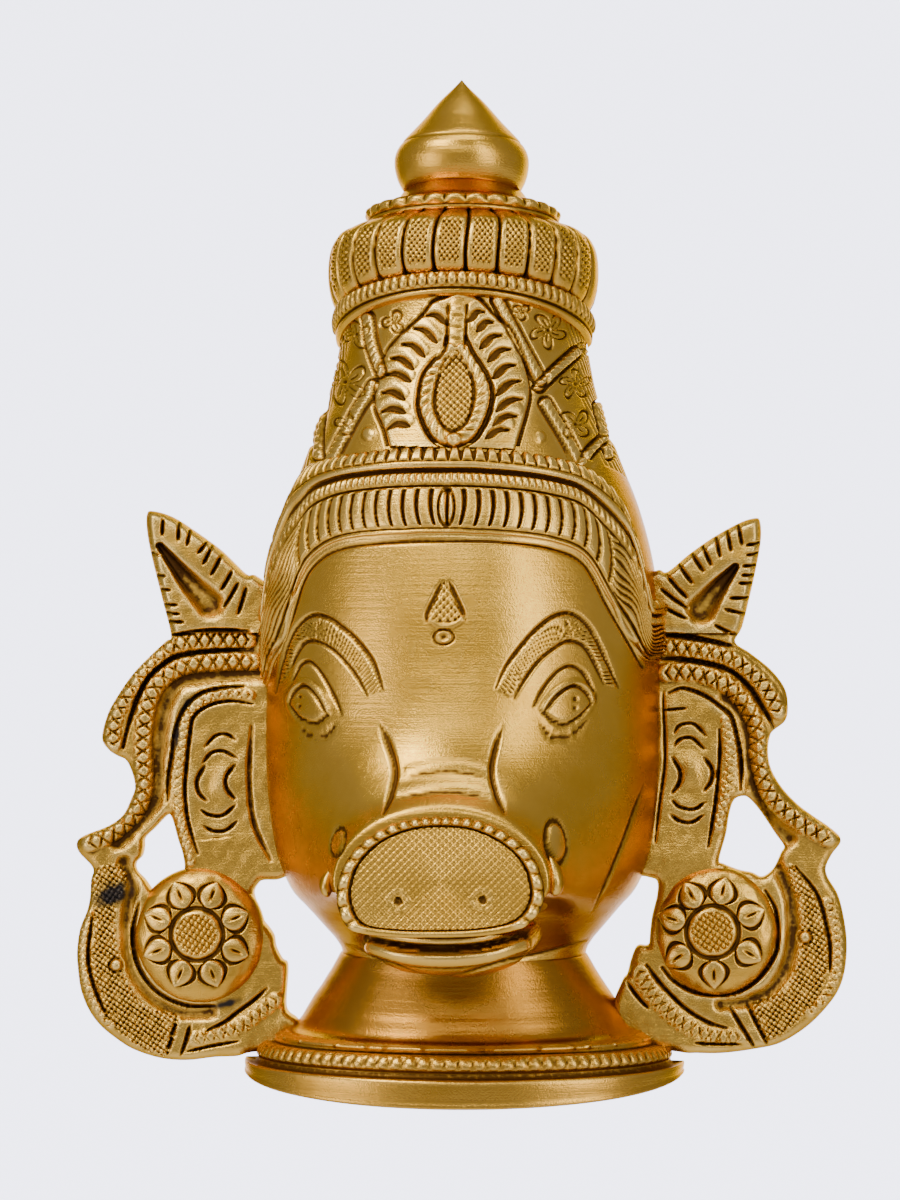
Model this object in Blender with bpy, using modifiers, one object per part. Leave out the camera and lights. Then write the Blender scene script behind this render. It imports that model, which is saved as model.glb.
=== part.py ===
"""Boar-faced goddess mask, a hollow brass casting made to hang on a wall.

The front faces -Y, +Z is up, and +X is to the viewer's right. The flat back lies in the plane y = 0,
and the origin is on the cross bar that the mask hangs by. Lengths are in metres.
"""

import math

import bmesh
import bpy
from mathutils import Matrix, Vector

# Driving dimensions, in metres
HEIGHT = 0.230
WALL = 0.0035
PLATE = 0.0050
BAR_HEIGHT = 0.016
BAR_THICKNESS = 0.0040
BAR_DROP = 0.0560

# The free form is carved by a front drawing that is 1005 units high, from the lowest to the highest point.
DRAWING_HEIGHT = 1005
UNIT = HEIGHT / DRAWING_HEIGHT
BAR_LEVEL = HEIGHT - BAR_DROP

# Faceting of the round forms
ARC_STEPS = 20

# Numbers of repeated carved members
AMALAKA_RIBS = 13
FLUTES = 25
FILLET_TEETH = 32
COLLAR_TEETH = 34
SNOUT_BEADS = 23
PETALS = 8

# Column of the mask: level at the side, lift at the front, half width, depth and centre, from below
COLLAR = [
    (22, -22, 220, 157, 0),
    (33, -4, 220, 157, 0),
    (35, -2, 206, 144, 0),
    (50, 1, 198, 140, 0),
    (56, -2, 188, 140, 0),
    (64, -4, 180, 136, 0),
    (70, -6, 166, 128, 0),
    (92, -3, 152, 119, 0),
    (116, 0, 136, 114, 0),
    (140, 0, 122, 112, 0),
    (152, 0, 116, 106, 0),
]
HEAD = [
    (128, 0, 114, 104, 0),
    (142, 0, 123, 113, 0),
    (165, 0, 139, 140, 0),
    (185, 0, 156, 166, 0),
    (205, 0, 173, 184, 0),
    (240, 0, 187, 197, 0),
    (290, 0, 194, 202, 0),
    (340, 0, 197, 203, 0),
    (390, 0, 197, 203, 0),
    (440, 0, 196, 201, 0),
    (475, 6, 195, 197, 0),
    (500, 18, 193, 193, 0),
    (516, 31, 190, 190, 0),
    (574, 38, 174, 183, 0),
    (606, 36, 158, 168, 0),
]
DIADEM = [
    (515, 30, 186, 186, 0),
    (518, 33, 196, 198, 0),
    (525, 36, 195, 200, 0),
    (560, 40, 185, 194, 0),
    (568, 40, 178, 187, 0),
    (579, 36, 177, 187, 0),
    (601, 36, 168, 181, 0),
]
CROWN = [
    (593, 36, 165, 176, 0),
    (645, 37, 151, 158, 0),
    (680, 36, 137, 147, 0),
    (708, 36, 128, 140, 0),
    (748, 38, 123, 132, 0),
    (757, 37, 128, 138, 0),
    (775, 34, 127, 138, 0),
    (782, 30, 121, 130, 0),
]
RING = [
    (850, 12, 92, 92, 6),
    (857, 12, 95, 95, 6),
    (867, 14, 94, 94, 6),
    (874, 15, 86, 84, 6),
    (882, 12, 66, 58, 12),
    (893, 5, 59, 56, 22),
]
FINIAL = [
    (892, 5, 60, 60, 26),
    (905, 4, 65, 65, 26),
    (923, 3, 67, 67, 26),
    (938, 3, 63, 63, 26),
    (948, 3, 55, 55, 26),
    (968, 2, 42, 42, 26),
    (988, 1, 24, 24, 26),
    (1005, 0, 3, 3, 26),
]
AMALAKA = [
    (776, 32, 116, 126, 0),
    (786, 29, 129, 141, 0),
    (808, 25, 134, 146, 0),
    (832, 19, 130, 140, 0),
    (846, 15, 117, 126, 0),
    (856, 12, 92, 100, 0),
]
HOLLOW = [
    (-40, -20, 200, 136, 0),
    (30, -6, 190, 132, 0),
    (70, -6, 162, 124, 0),
    (116, 0, 138, 115, 0),
    (140, 0, 124, 113, 0),
    (178, 0, 140, 146, 0),
    (215, 0, 170, 184, 0),
    (260, 0, 187, 197, 0),
    (340, 0, 196, 203, 0),
    (440, 0, 195, 200, 0),
    (516, 25, 189, 188, 0),
    (602, 36, 163, 174, 0),
    (680, 36, 137, 147, 0),
    (748, 38, 123, 132, 0),
    (800, 26, 118, 124, 0),
    (828, 19, 84, 92, 0),
]

# Muzzle: depth, level of the widest place, reach above and below it, half width
MUZZLE = [
    (140, 245, 150, 74, 112),
    (185, 243, 136, 74, 78),
    (206, 240, 118, 70, 60),
    (224, 236, 99, 64, 57),
    (242, 230, 82, 57, 72),
    (255, 225, 68, 49, 91),
    (262, 224, 63, 45, 96),
]
SNOUT_FACE = 268
SNOUT_RIM = 275
SNOUT_LEVEL = 224
SNOUT_UP = 63
SNOUT_DOWN = 45
SNOUT_HALF = 96

# Outlines on the front drawing, x to the right of the centre line and level above the lowest point
FLUTE_LEVEL = 529
FLUTE_TALL = 27
FLUTE_HALF = 196
FLUTE_DEPTH = 200
TILAKA_LEVEL = 487
TILAKA_CORNERS = ((0, 22), (-13, -10), (0, -18), (13, -10))
EAR_HOLLOW_RADII = (40, 14, 15)
CROWN_BANDS = [((-98, 762), (-78, 704)), ((-88, 700), (-128, 628)), ((-122, 742), (-98, 690))]
LEFT_WING = [
    (-205, 445), (-309, 441), (-334, 414), (-354, 389), (-362, 358), (-358, 344), (-346, 335),
    (-338, 331), (-331, 312), (-330, 297), (-338, 279), (-369, 262), (-387, 251), (-388, 243),
    (-381, 231), (-370, 222), (-371, 200), (-382, 170), (-387, 134), (-380, 95), (-362, 66),
    (-328, 42), (-283, 31), (-230, 34), (-202, 48), (-160, 60), (-172, 78), (-180, 88), (-177, 124),
    (-188, 151), (-203, 170), (-212, 200), (-207, 209), (-170, 225), (-170, 440),
]
LEFT_GAP = [
    (-295, 276), (-291, 274), (-280, 220), (-298, 210), (-313, 200), (-329, 225), (-321, 240), (-312, 259),
]
RIGHT_WING = [
    (170, 445), (191, 448), (273, 442), (308, 415), (322, 392), (323, 375), (316, 363), (306, 357),
    (304, 335), (308, 317), (322, 294), (350, 273), (366, 263), (376, 251), (365, 233), (363, 214),
    (376, 189), (383, 150), (380, 121), (365, 88), (335, 59), (298, 44), (236, 38), (205, 52),
    (160, 60), (161, 108), (168, 126), (172, 144), (180, 176), (192, 209), (170, 225),
]
RIGHT_GAP = [
    (279, 294), (267, 285), (261, 259), (256, 236), (297, 213), (316, 240), (298, 269), (287, 288),
]
LEFT_EAR = [
    (-314, 579), (-301, 576), (-260, 553), (-222, 519), (-195, 505), (-190, 450), (-232, 452), (-292, 455),
    (-304, 520),
]
RIGHT_EAR = [
    (293, 572), (296, 550), (293, 527), (272, 449), (190, 448), (187, 512), (206, 520), (227, 539),
    (273, 566),
]

# Side panels and their carved hoops: centre and half size
LEFT_PANEL = (-246, 310, 44, 92)
RIGHT_PANEL = (225, 318, 44, 92)
LEFT_ROSETTE = (-266, 153.6)
RIGHT_ROSETTE = (250, 155.1)
ROSETTE_RADIUS = 63
PETAL_REACH = 41
SEED_RADIUS = 24

SKIN_CELL = HEIGHT / 440
FORM_SHARE = 0.08
CUTTER_SHARE = 0.05
FACET_SHARE = 0.0110


def clear_scene():
    """Removes what the file opens with."""
    for obj in list(bpy.data.objects):
        bpy.data.objects.remove(obj, do_unlink=True)


def make_brass():
    """Aged brass, polished on the face."""
    brass = bpy.data.materials.new("aged_brass")
    brass.use_nodes = True
    shader = brass.node_tree.nodes["Principled BSDF"]
    shader.inputs["Base Color"].default_value = (0.50, 0.31, 0.09, 1.0)
    shader.inputs["Metallic"].default_value = 1.0
    shader.inputs["Roughness"].default_value = 0.33
    return brass


def new_collection(name):
    collection = bpy.data.collections.new(name)
    bpy.context.scene.collection.children.link(collection)
    return collection


def place(x, depth, level):
    """A point of the front drawing, at a depth in front of the flat back."""
    return Vector((x * UNIT, -depth * UNIT, level * UNIT - BAR_LEVEL))


def add_object(name, mesh, collection, helper=True):
    obj = bpy.data.objects.new(name, mesh)
    collection.objects.link(obj)
    if helper:
        obj.hide_render = True
        obj.display_type = "WIRE"
    return obj


def finish_mesh(name, bm, collection):
    bmesh.ops.triangulate(bm, faces=bm.faces)
    bmesh.ops.recalc_face_normals(bm, faces=bm.faces)
    if bm.calc_volume(signed=True) < 0:
        bmesh.ops.reverse_faces(bm, faces=bm.faces)
    mesh = bpy.data.meshes.new(name)
    bm.to_mesh(mesh)
    bm.free()
    return add_object(name, mesh, collection)


def loft(name, rings, collection):
    """A closed body through rings of equally many points, each end filled by a fan of triangles."""
    bm = bmesh.new()
    rows = []
    for ring in rings:
        rows.append([bm.verts.new(point) for point in ring])
    count = len(rows[0])
    for lower, upper in zip(rows, rows[1:]):
        for i in range(count):
            j = (i + 1) % count
            bm.faces.new((lower[i], lower[j], upper[j], upper[i]))
    ends = [bm.faces.new(rows[0][::-1]), bm.faces.new(rows[-1])]
    bmesh.ops.poke(bm, faces=ends)
    return finish_mesh(name, bm, collection)


def station_ring(station, steps=ARC_STEPS, wall=0.0, relief=None, behind=30):
    """One level of the column: a front arc and two points behind the flat back."""
    level, lift, half, depth, centre = station
    half = half - wall / UNIT
    depth = depth - wall / UNIT
    points = []
    for i in range(steps + 1):
        angle = math.pi * i / steps
        swell = relief(angle) if relief else 0.0
        x = (half + swell) * math.cos(angle)
        forward = centre + (depth + swell) * math.sin(angle)
        points.append(place(x, forward, level + lift * forward / (depth + centre)))
    back = level - lift * behind / (depth + centre)
    points.append(place(-half, -behind, back))
    points.append(place(half, -behind, back))
    return points


def column(name, stations, collection, **options):
    return loft(name, [station_ring(station, **options) for station in stations], collection)


def ribbed_column(name, stations, count, depth, collection, points_each=4):
    """A band whose front is a row of rounded ribs."""

    def relief(angle):
        return depth * (abs(math.sin(angle * count)) - 0.6)

    rings = [station_ring(s, steps=count * points_each, relief=relief) for s in stations]
    return loft(name, rings, collection)


def snout_ring(depth, level, up, down, half, shrink=0.0, steps=28):
    """An outline with a round top and a flatter, square-cornered bottom."""
    points = []
    for i in range(steps):
        angle = 2 * math.pi * i / steps
        c = math.cos(angle)
        s = math.sin(angle)
        power = 1.0 if s >= 0 else 0.62
        x = (half - shrink) * math.copysign(abs(c) ** power, c)
        reach = (up - shrink) if s >= 0 else (down - shrink)
        points.append(place(x, depth, level + reach * math.copysign(abs(s) ** power, s)))
    return points


def plate(name, outlines, front, collection, back=-20):
    """A flat plate: filled outlines extruded from behind the back plane to the front depth."""
    curve = bpy.data.curves.new(name, "CURVE")
    curve.dimensions = "2D"
    curve.fill_mode = "BOTH"
    curve.extrude = (front - back) * UNIT / 2
    for outline in outlines:
        spline = curve.splines.new("POLY")
        spline.points.add(len(outline) - 1)
        for point, (x, level) in zip(spline.points, outline):
            point.co = (x * UNIT, level * UNIT - BAR_LEVEL, 0, 1)
        spline.use_cyclic_u = True
    obj = bpy.data.objects.new(name, curve)
    bpy.context.scene.collection.objects.link(obj)
    middle = Matrix.Translation((0, -(front + back) * UNIT / 2, 0))
    obj.matrix_world = middle @ Matrix.Rotation(math.pi / 2, 4, "X")
    return curve_to_mesh(obj, collection)


def curve_to_mesh(obj, collection):
    """Turns a curve object into a welded mesh object in its place."""
    bpy.context.view_layer.update()
    graph = bpy.context.evaluated_depsgraph_get()
    mesh = bpy.data.meshes.new_from_object(obj.evaluated_get(graph))
    mesh.transform(obj.matrix_world)
    name = obj.name
    bpy.data.objects.remove(obj, do_unlink=True)
    bm = bmesh.new()
    bm.from_mesh(mesh)
    bmesh.ops.remove_doubles(bm, verts=bm.verts, dist=1e-6)
    bpy.data.meshes.remove(mesh)
    return finish_mesh(name, bm, collection)


def tube(name, points, radius, collection, taper=None, sides=6, ring=False):
    """A rod along the points, with an optional thinning towards its ends."""
    curve = bpy.data.curves.new(name, "CURVE")
    curve.dimensions = "3D"
    curve.bevel_depth = radius * UNIT
    curve.bevel_resolution = (sides - 4) // 2
    curve.use_fill_caps = True
    spline = curve.splines.new("POLY")
    spline.use_cyclic_u = ring
    spline.points.add(len(points) - 1)
    for i, (point, co) in enumerate(zip(spline.points, points)):
        point.co = (*co, 1)
        if taper:
            share = i / (len(points) - 1)
            point.radius = taper + (1 - taper) * math.sin(math.pi * share)
    obj = bpy.data.objects.new(name, curve)
    bpy.context.scene.collection.objects.link(obj)
    return curve_to_mesh(obj, collection)


def ball(name, centre, radii, collection, turn=0.0, rings=4, sides=8):
    """An ellipsoid, turned in the plane of the wall."""
    bm = bmesh.new()
    bmesh.ops.create_uvsphere(bm, u_segments=sides, v_segments=rings, radius=1.0)
    size = Matrix.Diagonal((radii[0] * UNIT, radii[1] * UNIT, radii[2] * UNIT, 1))
    bm.transform(Matrix.Translation(centre) @ Matrix.Rotation(-turn, 4, "Y") @ size)
    return finish_mesh(name, bm, collection)


def surface_depth(x, level, stations):
    """Depth of the column's front over a place of the drawing."""
    for lower, upper in zip(stations, stations[1:]):
        low = lower[0] + lower[1] * 0.9
        high = upper[0] + upper[1] * 0.9
        if low <= level <= high:
            share = (level - low) / (high - low)
            half = lower[2] + (upper[2] - lower[2]) * share
            depth = lower[3] + (upper[3] - lower[3]) * share
            return depth * math.sqrt(max(0.0, 1 - (x / half) ** 2))
    return 0.0


def on_surface(x, level, stations, out=0.0):
    return place(x, surface_depth(x, level, stations) + out, level)


def arc_points(centre, radii, start, end, steps, stations=None, depth=0.0, out=0.0):
    """Points of an elliptic arc on the drawing, at a depth or on the column's front."""
    points = []
    for i in range(steps + 1):
        angle = math.radians(start + (end - start) * i / steps)
        x = centre[0] + radii[0] * math.cos(angle)
        level = centre[1] + radii[1] * math.sin(angle)
        if stations:
            points.append(on_surface(x, level, stations, out))
        else:
            points.append(place(x, depth, level))
    return points


def smooth(points, steps=3):
    """Points of a rounded path through the given ones."""
    path = [points[0]] + list(points) + [points[-1]]
    result = []
    for a, b, c, d in zip(path, path[1:], path[2:], path[3:]):
        for k in range(steps):
            t = k / steps
            result.append(tuple(
                0.5 * (2 * q + (r - p) * t + (2 * p - 5 * q + 4 * r - s) * t ** 2
                       + (3 * q - p - 3 * r + s) * t ** 3)
                for p, q, r, s in zip(a, b, c, d)
            ))
    result.append(tuple(points[-1]))
    return result


def build_column(forms):
    """Collar, neck, head, diadem, crown, cushion, ring and finial."""
    column("collar_and_neck", COLLAR, forms)
    column("head", HEAD, forms)
    column("crown", CROWN, forms)
    column("ring", RING, forms, steps=16)
    column("finial", FINIAL, forms, steps=16)
    column("diadem", DIADEM[:5], forms)
    ribbed_column("fillet", DIADEM[5:], FILLET_TEETH, 5, forms, points_each=2)
    ribbed_column("amalaka", AMALAKA, AMALAKA_RIBS, 11, forms)
    band = [(37, 0, 204, 147, 0), (49, 1, 200, 144, 0)]
    ribbed_column("collar_beads", band, COLLAR_TEETH, 5, forms, points_each=2)


def build_flame(forms, cuts):
    """The leaf of flames on the crown: a raised field, flutes round it and a seed inside."""
    levels = [664, 680, 700, 722, 745, 765, 780]
    widths = [36, 62, 74, 72, 58, 36, 10]
    rings = []
    for level, width in zip(levels, widths):
        front = surface_depth(0, level, CROWN)
        ring = []
        for i in range(9):
            x = width * math.cos(math.pi * i / 8)
            ring.append(place(x, surface_depth(x, level, CROWN) + 9 * math.sin(math.pi * i / 8), level))
        ring.append(place(-width, front - 60, level))
        ring.append(place(width, front - 60, level))
        rings.append(ring)
    loft("flame_field", rings, forms)
    for side in (-1, 1):
        for k in range(7):
            share = k / 6
            level = 666 + 92 * share
            width = 40 + 26 * math.sin(math.pi * (1 - share) * 0.8)
            inner = (side * (width - 26), level - 4)
            outer = (side * (width + 6), level + 14 - 12 * (1 - share))
            path = []
            for i in range(3):
                t = i / 2
                x = inner[0] + (outer[0] - inner[0]) * t
                rise = inner[1] + (outer[1] - inner[1]) * t + 6 * math.sin(math.pi * t)
                path.append(on_surface(x, rise, CROWN, out=9))
            tube("flame_flute_{}_{}".format(side, k), path, 6, cuts, taper=0.4, sides=4)
    seed = place(0, surface_depth(0, 690, CROWN) + 4, 690)
    ball("flame_seed", seed, (17, 8, 30), forms)
    for side in (-1, 1):
        path = []
        for i in range(7):
            t = i / 6
            x = side * (4 + 26 * math.sin(math.pi * min(1.0, t * 1.25)) ** 0.8)
            path.append(on_surface(x, 654 + 96 * t, CROWN, out=8))
        tube("flame_rope_{}".format(side), path, 6, forms)


def build_crown_bands(forms):
    """Crossed slanting bands on the sides of the crown."""
    for side in (-1, 1):
        for k, (start, end) in enumerate(CROWN_BANDS):
            path = []
            for i in range(5):
                t = i / 4
                x = start[0] + (end[0] - start[0]) * t
                level = start[1] + (end[1] - start[1]) * t
                path.append(on_surface(-side * x, level, CROWN, out=1))
            tube("crown_band_{}_{}".format(side, k), path, 7, forms)


def build_flutes(cuts):
    """Slanting flutes of the diadem, mirrored about the middle."""
    for k in range(FLUTES):
        share = (k + 0.5) / FLUTES
        angle = math.pi * (0.10 + 0.80 * share)
        lean = (0.5 - share) * 0.16
        path = []
        for i in range(3):
            t = i / 2
            level = FLUTE_LEVEL + FLUTE_TALL * t
            turn = angle + lean * (t - 0.5)
            half = FLUTE_HALF - 8 * t
            depth = FLUTE_DEPTH - 5 * t
            forward = depth * math.sin(turn) + 1
            path.append(place(half * math.cos(turn), forward, level + 38 * forward / depth))
        tube("flute_{}".format(k), path, 6.5, cuts, taper=0.6)


def build_snout(forms, cuts):
    """Muzzle, snout plate with its beaded rim, nostrils, jaw and tusks."""
    loft("muzzle", [snout_ring(*section) for section in MUZZLE], forms)
    rim = (SNOUT_LEVEL, SNOUT_UP, SNOUT_DOWN, SNOUT_HALF)
    loft("snout_plate", [snout_ring(SNOUT_FACE - 10, *rim), snout_ring(SNOUT_RIM, *rim)], forms)
    face = [snout_ring(depth, *rim, shrink=16) for depth in (SNOUT_FACE, SNOUT_RIM + 20)]
    loft("snout_recess", face, cuts)
    for k in range(SNOUT_BEADS):
        angle = math.radians(-12 + 204 * k / (SNOUT_BEADS - 1))
        reach = SNOUT_UP if math.sin(angle) > 0 else SNOUT_DOWN
        x = (SNOUT_HALF - 5) * math.cos(angle)
        level = SNOUT_LEVEL + (reach - 5) * math.sin(angle)
        ball("snout_bead_{}".format(k), place(x, SNOUT_RIM - 1, level), (6, 6, 6), forms, sides=6)
    for side in (-1, 1):
        ball("nostril_{}".format(side), place(side * 39, SNOUT_FACE, 211), (6, 12, 6), cuts, rings=4)
        tusk = on_surface(side * 102, 226, HEAD, out=5)
        ball("tusk_{}".format(side), tusk, (9, 15, 20), forms, turn=side * 0.2)
        leaf = on_surface(side * 104, 252, HEAD)
        ball("cheek_leaf_{}".format(side), leaf, (14, 12, 24), forms, turn=-side * 0.4)
        furrow = []
        for i in range(6):
            t = i / 5
            x = side * (61 - 14 * math.sin(math.pi * t))
            furrow.append(place(x, 200 + 3 * t, 368 - 80 * t))
        tube("muzzle_furrow_{}".format(side), furrow, 7, cuts, taper=0.4, sides=4)
    ball("lower_jaw", place(0, 180, 168), (80, 62, 29), forms, rings=8, sides=16)
    mouth = arc_points((0, 190), (66, 16), 200, 340, 8, depth=232)
    tube("mouth", mouth, 6, cuts, taper=0.5, sides=4)


def build_face(forms, cuts):
    """Eyes, brows, forehead mark and the groove under the hairline."""
    eyes = [(-138, 389), (112, 389)]
    for side, (x, level) in zip((-1, 1), eyes):
        lean = -side * 0.12
        name = "left" if side < 0 else "right"
        ball(name + "_eye", on_surface(x, level, HEAD), (28, 11, 18), forms, turn=lean, rings=6, sides=12)
        lid = arc_points((x, level), (36, 36), 25, 165, 7, stations=HEAD, out=1)
        tube(name + "_lid_crease", lid, 5.5, cuts, taper=0.4, sides=4)
        low = arc_points((x, level), (34, 30), 205, 335, 6, stations=HEAD, out=1)
        tube(name + "_low_lid", low, 5, cuts, taper=0.4, sides=4)
        for k, reach in enumerate((70, 48)):
            start, end = (12, 178) if side < 0 else (2, 168)
            centre = (x + 6 * side, level + 12)
            brow = arc_points(centre, (reach * 0.86, reach), start, end, 9, stations=HEAD, out=1)
            tube("{}_brow_{}".format(name, k), brow, 6, cuts, taper=0.4, sides=4)
    mark = [
        [on_surface(dx * s, TILAKA_LEVEL + dz * s, HEAD, out=out) for dx, dz in TILAKA_CORNERS]
        for s, out in ((1.25, -8), (1.0, 5))
    ]
    loft("forehead_mark", mark, forms)
    ball("forehead_dot", on_surface(0, 455, HEAD), (8, 5, 6), forms, rings=4)
    edge = [(-196 * math.cos(a), 197 * math.sin(a), 514 + 31 * math.sin(a)) for a in hair_angles()]
    tube("hairline_groove", [place(*point) for point in edge], 6, cuts, sides=4)


def hair_angles():
    return [math.pi * (0.12 + 0.76 * i / 18) for i in range(19)]


def build_wing(side, name, outline, gap, ear, panel, rosette, forms, cuts):
    """One side of the mask: ear, curling arm, panel, rosette and crescent."""
    front = PLATE / UNIT
    plate(name + "_wing", [outline, gap], front, forms)
    plate(name + "_ear", [ear], front + 6, forms)
    tip = ear[0]
    root = (side * 232, 478)
    hollow = ((tip[0] * 0.35 + root[0] * 0.65), (tip[1] * 0.35 + root[1] * 0.65))
    lean = math.atan2(tip[1] - root[1], tip[0] - root[0])
    middle = place(hollow[0], front + 8, hollow[1])
    ball(name + "_ear_hollow", middle, EAR_HOLLOW_RADII, cuts, turn=lean, sides=12)
    for k in range(7):
        share = 0.18 + 0.62 * k / 6
        for edge in (-1, 1):
            across = Vector((-math.sin(lean), math.cos(lean))) * edge
            along = Vector((math.cos(lean), math.sin(lean)))
            base = Vector(root) + (Vector(tip[:2]) - Vector(root)) * share
            inner = base + across * (22 - 12 * share)
            outer = base + across * 60 + along * -14
            path = [place(p.x, front + 7, p.y) for p in (inner, outer)]
            tube("{}_ear_stroke_{}_{}".format(name, k, edge), path, 4, cuts, sides=4)
    build_arm(side, name, front, forms, cuts)
    build_panel(name, panel, front, forms, cuts)
    build_rosette(name, rosette, front, forms, cuts)
    build_crescent(side, name, rosette, front, forms, cuts)


def build_arm(side, name, front, forms, cuts):
    """The two strips of the arm and the groove between them."""
    outer = [(-212, 428), (-296, 428), (-326, 402), (-345, 374), (-348, 352), (-330, 340)]
    inner = [(-212, 404), (-270, 402), (-296, 384), (-312, 350), (-312, 300), (-322, 268), (-366, 246)]
    if side > 0:
        outer = [(-x - 16, level) for x, level in outer[:2]] + [
            (286, 412), (304, 394), (309, 378), (304, 371)]
        inner = [(-x - 16, level) for x, level in inner[:2]] + [
            (272, 388), (286, 355), (287, 322), (304, 286), (352, 256)]
    for strip, path, radius in (("outer", outer, 11), ("inner", inner, 11)):
        points = [place(x, front, level) for x, level in smooth(path, 2)]
        tube("{}_{}_strip".format(name, strip), points, radius, forms)
    groove = [((a[0] + b[0]) / 2, (a[1] + b[1]) / 2) for a, b in zip(outer, inner)][:5]
    path = [place(x, front + 8, level) for x, level in smooth(groove, 2)]
    tube(name + "_arm_groove", path, 4, cuts, sides=4)


def build_panel(name, panel, front, forms, cuts):
    """The hanging plate beside the cheek, with hoops round a lens."""
    x, level, half, reach = panel
    inner = -1 if x < 0 else 1
    edge = x + inner * half
    near = x - inner * (half + 20)
    outline = [
        (edge - inner * 4, level + reach), (edge, level - reach), (near, level - reach + 8),
        (near, level + reach)]
    plate(name + "_panel", [outline], front + 9, forms)
    for k, (wide, high) in enumerate(((15, 26), (22, 46), (27, 62))):
        spans = ((110, 250), (-70, 70)) if k == 0 else ((40, 140), (220, 320))
        for n, (start, end) in enumerate(spans):
            hoop = arc_points((x, level - 4), (wide, high), start, end, 6, depth=front + 10)
            tube("{}_hoop_{}_{}".format(name, k, n), hoop, 4.5, cuts, taper=0.5, sides=4)
    strip = [place(edge, front + 4, level - reach + 6), place(edge - inner * 3, front + 4, level + reach - 6)]
    tube(name + "_panel_strip", strip, 8, forms)


def build_rosette(name, centre, front, forms, cuts):
    """A flower of eight petals on a round boss."""
    x, level = centre
    bm = bmesh.new()
    bmesh.ops.create_cone(
        bm, cap_ends=True, segments=28, radius1=ROSETTE_RADIUS * UNIT, radius2=(ROSETTE_RADIUS - 3) * UNIT,
        depth=(front + 32) * UNIT)
    turn = Matrix.Rotation(math.pi / 2, 4, "X")
    bm.transform(Matrix.Translation(place(x, (front + 32) / 2 - 20, level)) @ turn)
    finish_mesh(name + "_boss", bm, forms)
    for k in range(PETALS):
        angle = 2 * math.pi * (k + 0.5) / PETALS
        at = place(x + PETAL_REACH * math.cos(angle), front + 11, level + PETAL_REACH * math.sin(angle))
        ball("{}_petal_{}".format(name, k), at, (17, 8, 11), forms, turn=angle)
    ball(name + "_seed", place(x, front + 11, level), (SEED_RADIUS, 9, SEED_RADIUS), forms, rings=6, sides=12)
    ring = arc_points((x, level), (SEED_RADIUS, SEED_RADIUS), 0, 337.5, 15, depth=front + 17)
    tube(name + "_ring_groove", ring, 2.6, cuts, sides=4, ring=True)


def build_crescent(side, name, rosette, front, forms, cuts):
    """The curled body below the arm: a raised rim outside and two cross grooves."""
    x, level = rosette
    reach = 110 if side < 0 else 122
    start, end = (150, 262) if side < 0 else (30, -82)
    rim = arc_points((x, level), (reach, reach - 4), start, end, 11, depth=front)
    tube(name + "_crescent_rim", rim, 9, forms)
    radii = (reach - 24, reach - 26)
    body = arc_points((x, level), radii, start - side * 4, end + side * 2, 9, depth=front - 4)
    tube(name + "_crescent_body", body, 17, forms)
    for k in (0, 1):
        angle = math.radians(255 + 9 * k) if side < 0 else math.radians(-75 - 9 * k)
        ends = [(x + r * math.cos(angle), level + r * math.sin(angle)) for r in (66, 124)]
        path = [place(px, front + 12, pl) for px, pl in ends]
        tube("{}_cross_groove_{}".format(name, k), path, 4, cuts, sides=4)
    ball(name + "_ring_boss", place(x + side * 84, front + 11, level - 26), (8, 6, 8), forms, rings=4)


def build_hollow(hollows, bars):
    """The open inside of the casting, crossed by the hanging bar."""
    core = column("hollow", HOLLOW, hollows, wall=WALL, behind=60, steps=18)
    sections = []
    for depth, level, up, down, half in MUZZLE:
        shrink = WALL / UNIT + 4
        sections.append(snout_ring(depth - WALL / UNIT, level, up, down, half, shrink=shrink, steps=18))
    muzzle = loft("muzzle_hollow", sections, hollows)
    bm = bmesh.new()
    bmesh.ops.create_cube(bm, size=1.0)
    box = Matrix.Diagonal((0.4 * HEIGHT, BAR_THICKNESS * 2, BAR_HEIGHT, 1))
    bm.transform(box)
    bar = finish_mesh("hanging_bar", bm, bars)
    boolean(core, bar, "DIFFERENCE")
    bpy.context.view_layer.update()
    graph = bpy.context.evaluated_depsgraph_get()
    slotted = bpy.data.meshes.new_from_object(core.evaluated_get(graph))
    core.modifiers.clear()
    core.data = slotted
    return core, muzzle


def boolean(obj, other, operation):
    modifier = obj.modifiers.new(operation.lower(), "BOOLEAN")
    modifier.operation = operation
    modifier.solver = "EXACT"
    if isinstance(other, bpy.types.Collection):
        modifier.operand_type = "COLLECTION"
        modifier.collection = other
    else:
        modifier.object = other


def merge_forms(name, forms, collection):
    """All the given forms in one object. They overlap, and a skin over them makes one body."""
    bm = bmesh.new()
    for form in forms:
        bm.from_mesh(form.data)
        bpy.data.objects.remove(form, do_unlink=True)
    mesh = bpy.data.meshes.new(name)
    bm.to_mesh(mesh)
    bm.free()
    return add_object(name, mesh, collection, helper=False)


def one_skin(obj, share):
    """A closed skin over overlapping forms, which keeps this share of its faces."""
    skin = obj.modifiers.new("one_skin", "REMESH")
    skin.mode = "VOXEL"
    skin.voxel_size = SKIN_CELL
    facets = obj.modifiers.new("facets", "DECIMATE")
    facets.ratio = share


def flat_back(cutters):
    """A block behind the plane that touches the wall."""
    bm = bmesh.new()
    bmesh.ops.create_cube(bm, size=1.0)
    depth = 0.5 * HEIGHT
    bm.transform(Matrix.Translation((0, depth / 2, 0)) @ Matrix.Diagonal((3 * HEIGHT, depth, 3 * HEIGHT, 1)))
    return finish_mesh("behind_the_wall_plane", bm, cutters)


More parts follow.
